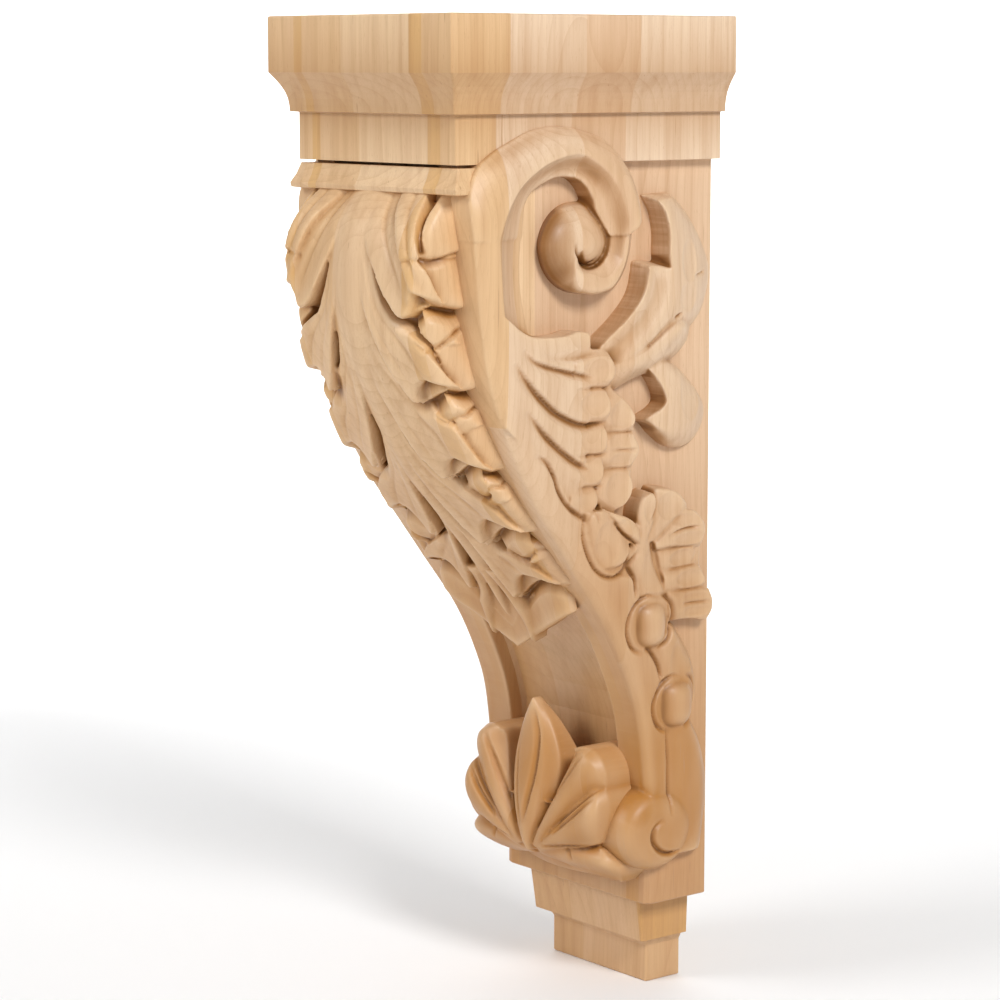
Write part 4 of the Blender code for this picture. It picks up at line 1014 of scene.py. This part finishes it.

# %% [markdown]
# ## The wood
# The block is glued up from boards of a pale, close-grained hardwood, some pinker and some creamier, and
# finished with a clear satin coat. The boards keep their own tone through cap, scroll and carving, so the
# pattern is worked out from the place in the block, not from the surface: each board has its own colour,
# growth rings and fibres, and carving through it shows them as a real cut would. Shade is painted into
# hollows, cuts and steep walls, and a highlight onto crests.

# %% A small class for shader maths
class Flow:
    """A value on its way through a material; Python's operators add Math nodes to it."""

    def __init__(self, tree, socket):
        self.tree = tree
        self.socket = socket

    def math(self, operation, *others):
        """One Math node, with this value first."""
        return add_node(self.tree, "ShaderNodeMath", {"operation": operation}, 0,
                        **{str(k): item for k, item in enumerate((self, *others))})

    def __add__(self, other):
        return self.math("ADD", other)

    def __radd__(self, other):
        return self.math("ADD", other)

    def __sub__(self, other):
        return self.math("SUBTRACT", other)

    def __rsub__(self, other):
        return add_node(self.tree, "ShaderNodeMath", {"operation": "SUBTRACT"}, 0, **{"0": other, "1": self})

    def __mul__(self, other):
        return self.math("MULTIPLY", other)

    def __rmul__(self, other):
        return self.math("MULTIPLY", other)

    def __truediv__(self, other):
        return self.math("DIVIDE", other)

    def __gt__(self, other):
        return self.math("GREATER_THAN", other)

    def __pow__(self, other):
        return self.math("POWER", other)

    def above(self, level):
        """What the value has above a level, and 0 below it."""
        return (self - level).math("MAXIMUM", 0.0)

    def clipped(self):
        """The value held between 0 and 1."""
        return self.math("MAXIMUM", 0.0).math("MINIMUM", 1.0)


def add_node(tree, kind, settings, output, **inputs):
    """One node of any type: settings first, then values or links by socket name or number."""
    node = tree.nodes.new(kind)
    for name, value in settings.items():
        if name == "stops":
            ramp = node.color_ramp
            while len(ramp.elements) < len(value):
                ramp.elements.new(0.5)
            for element, (place, colour) in zip(ramp.elements, value):
                element.position = place
                element.color = (*colour, 1)
        elif name == "interpolation":
            node.color_ramp.interpolation = value
        else:
            setattr(node, name, value)
    for name, value in inputs.items():
        socket = node.inputs[int(name)] if name.isdigit() else node.inputs[name.replace("_", " ")]
        if isinstance(value, Flow):
            tree.links.new(value.socket, socket)
        else:
            socket.default_value = value
    return Flow(tree, node.outputs[output])


def blend(factor, first, second):
    """Two colours through a Mix node; a plain colour gets its alpha here."""
    second = second if isinstance(second, Flow) else (*second, 1)
    return add_node(factor.tree, "ShaderNodeMix", {"data_type": "RGBA"}, 2,
                    **{"0": factor, "6": first, "7": second})


print("shader helpers ready")

# %% [markdown]
# ### Boards
# Glue lines show where the boards meet: three down the front, and three across each side of the outer
# boards. A ramp with constant steps, read along X for the core and along Y for the outer boards, gives each
# board its tone.

# %% The hardwood
PINK = (0.73, 0.505, 0.325)
CREAM = (0.79, 0.56, 0.335)
PALE = (0.80, 0.61, 0.43)
STRAW = (0.74, 0.495, 0.27)
TAN = (0.70, 0.425, 0.175)
HONEY = (0.43, 0.185, 0.036)
UMBER = (0.17, 0.065, 0.012)
GRAIN = (0.40, 0.18, 0.055)
DARK_FIBRE = (0.42, 0.22, 0.10)
# Where boards meet: across the front as shares of its width, and along the sides as distances from the wall.
# The side's own boards are OUTER_BOARD from the middle, and the next layer, from INNER_BOARD on, has others.
FRONT_WIDTH = 170.0
SIDE_RANGE = 210.0
FRONT_JOINTS = (0.2, 0.415, 0.7735)
SIDE_JOINTS = [place / SIDE_RANGE for place in (70.0, 108.5, 161.0)]
INNER_JOINTS = [place / SIDE_RANGE for place in (128.0, 150.0)]
OUTER_BOARD = 66.0
INNER_BOARD = 58.0
RING_SPACING = 3.4
RING_SWAY = 46.0
# How far from the middle and from the wall the first board's pith lies, outside the block.
PITH_ACROSS = 60.0
PITH_BACK = 90.0
# The colour warms and darkens from this height down, over this range, and less so on the foot below the base.
WARM_BELOW = 80.0
WARM_RANGE = 220.0
BASE_LEDGE = -226.0
FOOT_WARMTH = 0.7
WOOD_ROUGHNESS = 0.42
WOOD_COAT = 0.1
WOOD_COAT_ROUGHNESS = 0.28
BUMP_STRENGTH = 0.25
BUMP_DISTANCE = 0.00018


def tone_ramp(tree, along, tones, joints):
    """Board tones along one direction, which change sharply at the joints; all run from 0 to 1."""
    stops = list(zip((0.0, *joints), tones))
    return add_node(tree, "ShaderNodeValToRGB", {"interpolation": "CONSTANT", "stops": stops}, 0, Fac=along)


def board_number(along, joints):
    """How many joints a place has passed."""
    return sum((along > joint for joint in joints[1:]), along > joints[0])


def hardwood(name, tint, foot_tint):
    """The wood; tint and foot_tint say how warm and dark its colour is all over and towards the foot."""
    material = bpy.data.materials.new(name)
    material.use_nodes = True
    tree = material.node_tree
    shader = tree.nodes["Principled BSDF"]
    place = add_node(tree, "ShaderNodeTexCoord", {}, 3)
    scaled = add_node(tree, "ShaderNodeVectorMath", {"operation": "SCALE"}, 0,
                      **{"0": place, "Scale": 1000.0})
    x, y, z = (add_node(tree, "ShaderNodeSeparateXYZ", {}, k, Vector=scaled) for k in range(3))

    # Board tones, and a number for each board that sets its pattern apart.
    across, depth = x / FRONT_WIDTH + 0.5, y / -SIDE_RANGE
    outer = x.math("ABSOLUTE") > OUTER_BOARD
    core = tone_ramp(tree, across, (TAN, STRAW, CREAM, TAN), FRONT_JOINTS)
    inner = tone_ramp(tree, depth, (PINK, CREAM, STRAW), INNER_JOINTS)
    side = tone_ramp(tree, depth, (PALE, PINK, PALE, STRAW), SIDE_JOINTS)
    tone = blend(outer, blend(x.math("ABSOLUTE") > INNER_BOARD, core, inner), side)
    number = (board_number(depth, SIDE_JOINTS) * outer) * 3.7 + board_number(across, FRONT_JOINTS) * 17.3
    number = number + outer * 5.1

    def figure(fineness, along, detail=2.0, roughness=0.5):
        """Noise drawn out along the fibres, by its fineness across them and along them."""
        spot = add_node(tree, "ShaderNodeCombineXYZ", {}, 0, X=x * fineness, Y=y * fineness,
                        Z=z * along + number)
        return add_node(tree, "ShaderNodeTexNoise", {}, 0, Vector=spot, Scale=1.0, Detail=detail,
                        Roughness=roughness)

    # Growth rings round a pith that lies outside each board, bent a little along the length.
    from_pith_x = x + PITH_ACROSS - number * 1.9 + figure(0.006, 0.0035) * RING_SWAY
    from_pith_y = y - PITH_BACK + number * 3.1
    radius = (from_pith_x * from_pith_x + from_pith_y * from_pith_y).math("SQRT")
    ring_edge = (radius / RING_SPACING).math("FRACT") ** 5.0
    # Fibres, long streaks, clouds, pores and fine checks, all running up the block.
    fibre, streak, cloud = figure(1.6, 0.035, 3.0, 0.6), figure(0.16, 0.006), figure(0.03, 0.012)
    pores = ((figure(2.6, 0.22, 1.0) - 0.68) * 16.0).clipped()
    checks = ((figure(0.55, 0.03, 1.0) - 0.735) * 20.0).clipped()

    # Warmer and darker towards the foot; painted shade in hollows, cuts and on steep walls, a painted
    # highlight on crests.
    low = ((WARM_BELOW - z) / WARM_RANGE).clipped() * ((z > BASE_LEDGE) * (1 - FOOT_WARMTH) + FOOT_WARMTH)
    # The 'hollow' attribute holds painted shade above 0 and a painted highlight below 0.
    hollow = add_node(tree, "ShaderNodeAttribute", {"attribute_name": "hollow"}, 2)
    groove, crest = hollow.clipped(), (hollow * -1.0).clipped()
    colour = tone
    for amount, stain in (
        (low * foot_tint + tint, HONEY), (ring_edge * 0.22, GRAIN), (streak.above(0.42), GRAIN),
        (fibre.above(0.5) * 0.9, GRAIN), (cloud.above(0.45) * 0.9, PINK), (pores * 0.30, DARK_FIBRE),
        (checks * 0.55, DARK_FIBRE), (groove * 0.9, HONEY), (groove * groove * 0.75, UMBER),
        (crest * 0.4, CREAM),
    ):
        colour = blend(amount, colour, stain)
    tree.links.new(colour.socket, shader.inputs["Base Color"])

    rough = WOOD_ROUGHNESS + fibre * 0.12 + pores * 0.2
    tree.links.new(rough.socket, shader.inputs["Roughness"])
    relief_map = fibre * 0.5 + ring_edge * 0.35 - pores * 0.9 - checks * 1.2
    bump = add_node(tree, "ShaderNodeBump", {}, 0, Strength=BUMP_STRENGTH, Distance=BUMP_DISTANCE,
                    Height=relief_map)
    tree.links.new(bump.socket, shader.inputs["Normal"])
    shader.inputs["Coat Weight"].default_value = WOOD_COAT
    shader.inputs["Coat Roughness"].default_value = WOOD_COAT_ROUGHNESS
    return material


BLOCK_WOOD = hardwood("glued_hardwood", 0.02, 0.66)
CARVED_WOOD = hardwood("carved_hardwood", 0.22, 0.8)
print("wood", len(CARVED_WOOD.node_tree.nodes), "nodes")

# %% [markdown]
# ## Making a carving
# A carver cuts one surface; overlapping shapes melt into each other with soft inner corners. Here every
# leaf is its own closed body, and a voxel remesh fuses them into one skin. A light smoothing takes the
# knife-sharp corners off as sanding does, and a decimation keeps the faces where the relief needs them.

# %% Finishing helpers
SMOOTH_STEPS = 3
POLISH_STEPS = 2
# Hollows are read at two sizes, by smoothing the bend of the surface a few times or many times; hollows get
# painted shade and crests a painted highlight.
FINE_STEPS = 4
BROAD_STEPS = 60
FINE_GAIN = 3.5
BROAD_GAIN = 18.0
# How much of its own bend a vertex keeps at each step of that smoothing.
BEND_KEPT = 0.4


def vectors(mesh, what):
    """The places ("co") or normals ("normal") of a mesh's vertices, one row each."""
    values = np.empty(len(mesh.vertices) * 3)
    mesh.vertices.foreach_get(what, values)
    return values.reshape(-1, 3)


def hollows(mesh):
    """How hollow the surface is at each vertex, from -1 on a crest to 1 in a groove."""
    points, normals = vectors(mesh, "co"), vectors(mesh, "normal")
    count = len(points)
    edges = np.empty(len(mesh.edges) * 2, dtype=np.int64)
    mesh.edges.foreach_get("vertices", edges)
    a, b = edges.reshape(-1, 2).T
    way = points[b] - points[a]
    way /= np.maximum(np.linalg.norm(way, axis=1), 1e-9)[:, None]
    number = np.maximum(np.bincount(a, minlength=count) + np.bincount(b, minlength=count), 1)
    bend = np.bincount(a, (way * normals[a]).sum(1), count) - np.bincount(b, (way * normals[b]).sum(1), count)
    bend /= number
    for step in range(BROAD_STEPS):
        near = np.bincount(a, bend[b], count) + np.bincount(b, bend[a], count)
        bend = BEND_KEPT * bend + (1 - BEND_KEPT) * near / number
        if step + 1 == FINE_STEPS:
            fine = bend
    return np.clip(fine * FINE_GAIN + bend * BROAD_GAIN, -1, 1)


print("hollows are read over", BROAD_STEPS, "steps")

# %% [markdown]
# ### Cutting with a gouge
# Cuts are made after the bodies are fused, by moving the skin inwards along the nearest drawn line. That
# keeps every cut clean where it runs over several bodies. Shade is painted into a cut and onto steep walls,
# so they are noted too.

# %% Gouge
# A cut deepens over the first share of its length and runs out over the second.
TAPER_IN = 0.35
TAPER_OUT = 0.18
TAPER_POWER = 0.7
SCOOP_POWER = 0.6


def cut_depth(across, up, cuts, scoops):
    """How deep the gouge goes at each place: long cuts that taper at both ends, and shallow round scoops."""
    deepest = np.zeros(len(across))
    for points, deep, left, right in cuts:
        line = even(points, 40)
        reach = max(left, right)
        near = np.flatnonzero((across > line[:, 0].min() - reach) & (across < line[:, 0].max() + reach)
                              & (up > line[:, 1].min() - reach) & (up < line[:, 1].max() + reach))
        if not len(near):
            continue
        place = np.stack([across[near], up[near]], -1)
        offset = place[:, None, :] - line[None, :, :]
        distance = np.linalg.norm(offset, axis=2)
        nearest = distance.argmin(1)
        run = np.gradient(line, axis=0)[nearest]
        off = offset[np.arange(len(near)), nearest]
        side = run[:, 0] * off[:, 1] - run[:, 1] * off[:, 0]
        width = np.where(side > 0, left, right)
        share = nearest / (len(line) - 1)
        taper = np.clip(np.minimum(share / TAPER_IN, (1 - share) / TAPER_OUT), 0, 1) ** TAPER_POWER
        inside = np.clip(1 - distance.min(1) / width, 0, 1)
        deepest[near] = np.maximum(deepest[near], deep * taper * inside)
    for y, z, long, high, deep in scoops:
        off = ((across - y) / long) ** 2 + ((up - z) / high) ** 2
        deepest = np.maximum(deepest, deep * np.clip(1 - off, 0, 1) ** SCOOP_POWER)
    return deepest


# How much painted shade a cut gets for each millimetre of its depth, how much painted light a scoop gets,
# and how much painted shade falls on the steep walls that start this far behind the rim's front, or at this
# height over the volute.
GROOVE_SHADE = 0.3
SCOOP_SHADE = 0.22
WALL_SHADE = 0.95
WALL_START = 9.0
WALL_TOP = 478.0
# The leaf's hoods get this share of a side cut's painted shade, and its fine veins so much painted shade for
# each millimetre.
HOOD_SHARE = 0.8
VEIN_SHADE = 0.12
# Each vein is read at this many points and stops short of the blade's tip.
VEIN_POINTS = 24
VEIN_END = 21
# Patches of painted shade on the side: depth, height above the foot, half length, half height,
# amount.
SIDE_SHADE_PATCHES = [
    (-124, 434, 13, 26, 0.75), (-116, 411, 20, 8, 0.4), (-108, 470, 14, 7, 0.3), (-60, 336, 12, 14, 0.5),
    (-120, 392, 18, 4, 0.3), (-88, 372, 16, 8, 0.2), (-50, 288, 10, 12, 0.2), (-24, 232, 14, 6, 0.25),
    (-76, 160, 14, 50, 0.18), (-60, 118, 10, 14, 0.35),
]


def gathered(depth, clean, most):
    """How much shade is painted into a cut: none to a first depth, then more, up to a limit."""
    return np.clip(depth - clean, 0, most) * GROOVE_SHADE


def gouge_side(points, normals):
    """Cuts the side's grooves and scoops into a carving, on whichever side of the corbel it is.

    Every gouge moves the points it gets, and returns how much shade is painted at each.
    """
    square = np.abs(normals[:, 0])
    across, up = points[:, 1] / MM, (points[:, 2] - FOOT_LEVEL) / MM
    facing = np.clip(square * 1.6 - 0.3, 0, 1) * (np.abs(points[:, 0]) > PANEL_HALF_WIDTH * MM)
    cuts = cut_depth(across, up, SIDE_CUTS, []) * facing
    scoops = cut_depth(across, up, [], SIDE_SCOOPS) * facing
    points[:, 0] -= np.sign(points[:, 0]) * np.maximum(cuts, scoops) * MM
    # Painted shade on steep walls behind the rim's front and over the volute, most on walls facing the front,
    # away from the light on the right; then the painted shade patches.
    table = FINE[id(RIM_FRONT)]
    behind = np.clip((across + np.interp(up, table[:, 0], table[:, 1]) - WALL_START) / 5.0, 0, 1)
    behind = np.maximum(behind, np.clip((up - WALL_TOP) / 8.0, 0, 1))
    steep = np.clip(np.sqrt(np.clip(1 - square ** 2, 0, 1)) * 1.3 - 0.2, 0, 1)
    walls = steep * behind * np.clip(0.35 - normals[:, 1] * 1.3, 0, 1)
    shade_patches = cut_depth(across, up, [], SIDE_SHADE_PATCHES)
    return gathered(cuts, 1.2, 3) - scoops * SCOOP_SHADE + walls * WALL_SHADE + shade_patches


def gouge_leaf(points, normals):
    """Cuts the hoods over the pockets and the veins of the blades into the front leaf."""
    up = (points[:, 2] - FOOT_LEVEL) / MM
    table = FINE[id(LEAF_FRONT)]
    front = np.interp(up, table[:, 0], table[:, 1])
    fall = np.interp(up, *zip(*LEAF_FALL))
    across = np.abs(points[:, 0]) / MM
    back = points[:, 1] / MM + front - fall * np.clip(across / LEAF_SIDE, 0, 1) ** 2 - LEAF_CORNER
    flat = LEAF_SIDE - LEAF_CORNER
    arc = LEAF_CORNER * math.pi / 2
    turn = np.clip((across - flat) / LEAF_CORNER, 0, 1)
    around_corner = np.where(back > 0, flat + arc + back, np.where(across > flat, flat + arc * turn, across))
    side_face = (across > flat + LEAF_CORNER * 0.5) | (turn > 0.8)
    along = np.where(side_face, around_corner, np.minimum(across, flat + arc))
    veins = []
    for number, (lower, upper, _) in enumerate(BLADES):
        low, high = even(lower, VEIN_POINTS)[:, :2], even(upper, VEIN_POINTS)[:, :2]
        for share, deep, width in VEINS[number < ONE_VEINED:]:
            line = low * (1 - share) + high * share
            veins.append((line[:VEIN_END], deep, width, width * 0.5))
    deep = cut_depth(along, up, LEAF_CUTS, [])
    fine = cut_depth(along, up, veins, [])
    slope = np.interp(up, table[:, 0], np.gradient(table[:, 1], table[:, 0]))
    bend = np.where(side_face, 1.0, turn) * math.pi / 2
    length = np.hypot(1, slope)
    away = np.stack([np.sign(points[:, 0]) * np.sin(bend),
                     -np.cos(bend) / length, -np.cos(bend) * slope / length], -1)
    points -= away * (np.maximum(deep, fine) * MM)[:, None]
    # Painted shade in the hoods and veins.
    return gathered(deep, 0.8, 4) * HOOD_SHARE + fine * VEIN_SHADE


def gouge_palmette(points, normals):
    """Cuts the grooves between and along the palmette's lobes."""
    up = (points[:, 2] - FOOT_LEVEL) / MM
    middle = cut_depth(points[:, 0] / MM, up, PALMETTE_CUTS, [])
    lobes = cut_depth(np.abs(points[:, 0]) / MM, up, LOBE_CUTS, [])
    deep = np.maximum(middle, lobes) * np.clip(-normals[:, 1] * 1.6, 0, 1)
    points[:, 1] += deep * MM
    return gathered(deep, 0.6, 3)


print("shade per millimetre", GROOVE_SHADE)

# %% [markdown]
# ### From bodies to a piece
# The steps in order: fuse, sand, cut, polish, note the hollows, then thin the mesh out where it is flat.

# %% Finishing a piece
def applied(piece, name):
    """Gives a piece the mesh that its modifiers make, and takes the modifiers off."""
    old = piece.data
    done = piece.evaluated_get(bpy.context.evaluated_depsgraph_get())
    piece.data = bpy.data.meshes.new_from_object(done)
    piece.modifiers.clear()
    piece.data.name = name
    bpy.data.meshes.remove(old)
    return piece.data


def smoothed(piece, name, steps):
    """A piece's mesh after a light smoothing, together with the modifiers that it already has."""
    sand = piece.modifiers.new("sand", "SMOOTH")
    sand.factor = 0.5
    sand.iterations = steps
    return applied(piece, name)


def finished(bm, name, keep=1.0, gouge=None):
    """Turns a bmesh into a finished piece of the corbel: a carving has its gouge, the block has none."""
    bmesh.ops.translate(bm, verts=bm.verts, vec=(0, 0, FOOT_LEVEL))
    mesh = bpy.data.meshes.new(name)
    bm.to_mesh(mesh)
    bm.free()
    piece = bpy.data.objects.new(name, mesh)
    bpy.context.scene.collection.objects.link(piece)
    if gouge:
        fuse = piece.modifiers.new("fuse", "REMESH")
        fuse.mode = "VOXEL"
        fuse.voxel_size = CARVING_VOXEL * MM
        mesh = smoothed(piece, name, SMOOTH_STEPS)
        points = vectors(mesh, "co")
        # The gouge returns the painted shade of its cuts and walls.
        depth = gouge(points, vectors(mesh, "normal"))
        mesh.vertices.foreach_set("co", points.ravel())
        mesh.update()
        mesh = smoothed(piece, name, POLISH_STEPS)
        # The 'hollow' attribute: painted shade in hollows, cuts and walls, a painted highlight on crests.
        shade = mesh.attributes.new("hollow", "FLOAT", "POINT")
        shade.data.foreach_set("value", np.clip(hollows(mesh) + depth, -1, 1).astype(np.float32))
        thin = piece.modifiers.new("thin", "DECIMATE")
        thin.ratio = keep
        mesh = applied(piece, name)
        mesh.polygons.foreach_set("use_smooth", [True] * len(mesh.polygons))
    mesh.materials.clear()
    mesh.materials.append(CARVED_WOOD if gouge else BLOCK_WOOD)
    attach(piece, "root")
    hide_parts("corbel")
    corners = np.array([v.co[:] for v in mesh.vertices])
    print(name, len(mesh.polygons), "faces", np.round(corners.min(0), 4), np.round(corners.max(0), 4))
    return piece


print("polish", POLISH_STEPS, "steps after", SMOOTH_STEPS)

# %% [markdown]
# ## The block
# The glued block with its cap, cove, band, drip moulding, curved panel and stepped foot. Its edges are
# eased a little, as a sanded edge is.

# %% The block
EDGE_ROUNDING = 0.7
# Only edges sharper than this are eased, in degrees.
EDGE_ANGLE = 40
# How much shade is painted into the cove.
COVE_SHADE = 0.4

bm = bmesh.new()
stack(bm, block_outlines())
block = finished(bm, "block")
ease = block.modifiers.new("ease", "BEVEL")
ease.width = EDGE_ROUNDING * MM
ease.segments = 2
ease.limit_method = "ANGLE"
ease.angle_limit = math.radians(EDGE_ANGLE)
# Painted shade in the cove, through the 'hollow' attribute.
shade = block.data.attributes.new("hollow", "FLOAT", "POINT")
for vert, value in zip(block.data.vertices, shade.data):
    level = (vert.co.z - FOOT_LEVEL) / MM
    value.value = COVE_SHADE if COVE_BOTTOM < level < SLAB_BOTTOM + 0.1 else 0.0

# %% [markdown]
# ## The scrolls and the side leaves
# Each side carries one carved layer: rim, volute, leaves, husks and roll. The left one is the right one
# mirrored, as a pair of hands would carve it.

# %% The scrolls and the side leaves
for name, side in (("scroll_right", 1), ("scroll_left", -1)):
    bm = bmesh.new()
    rim(bm)
    snail(bm)
    side_leaves(bm)
    husks(bm)
    roll(bm)
    if side < 0:
        bmesh.ops.scale(bm, vec=(-1, 1, 1), verts=bm.verts)
        bmesh.ops.reverse_faces(bm, faces=bm.faces)
    finished(bm, name, SIDE_KEEP, gouge_side)

# %% [markdown]
# ## The front leaf in place
# All the leaf's bodies fuse into one skin before the pockets are cut, so that blades and pads meet softly.

# %% The front leaf
bm = bmesh.new()
front_leaf(bm)
finished(bm, "front_leaf", LEAF_KEEP, gouge_leaf)

# %% [markdown]
# ## The palmette in place
# The palmette is fused and cut in the same way, and covers the foot of the sunk field.

# %% The palmette
bm = bmesh.new()
palmette(bm)
finished(bm, "palmette", LEAF_KEEP, gouge_palmette)
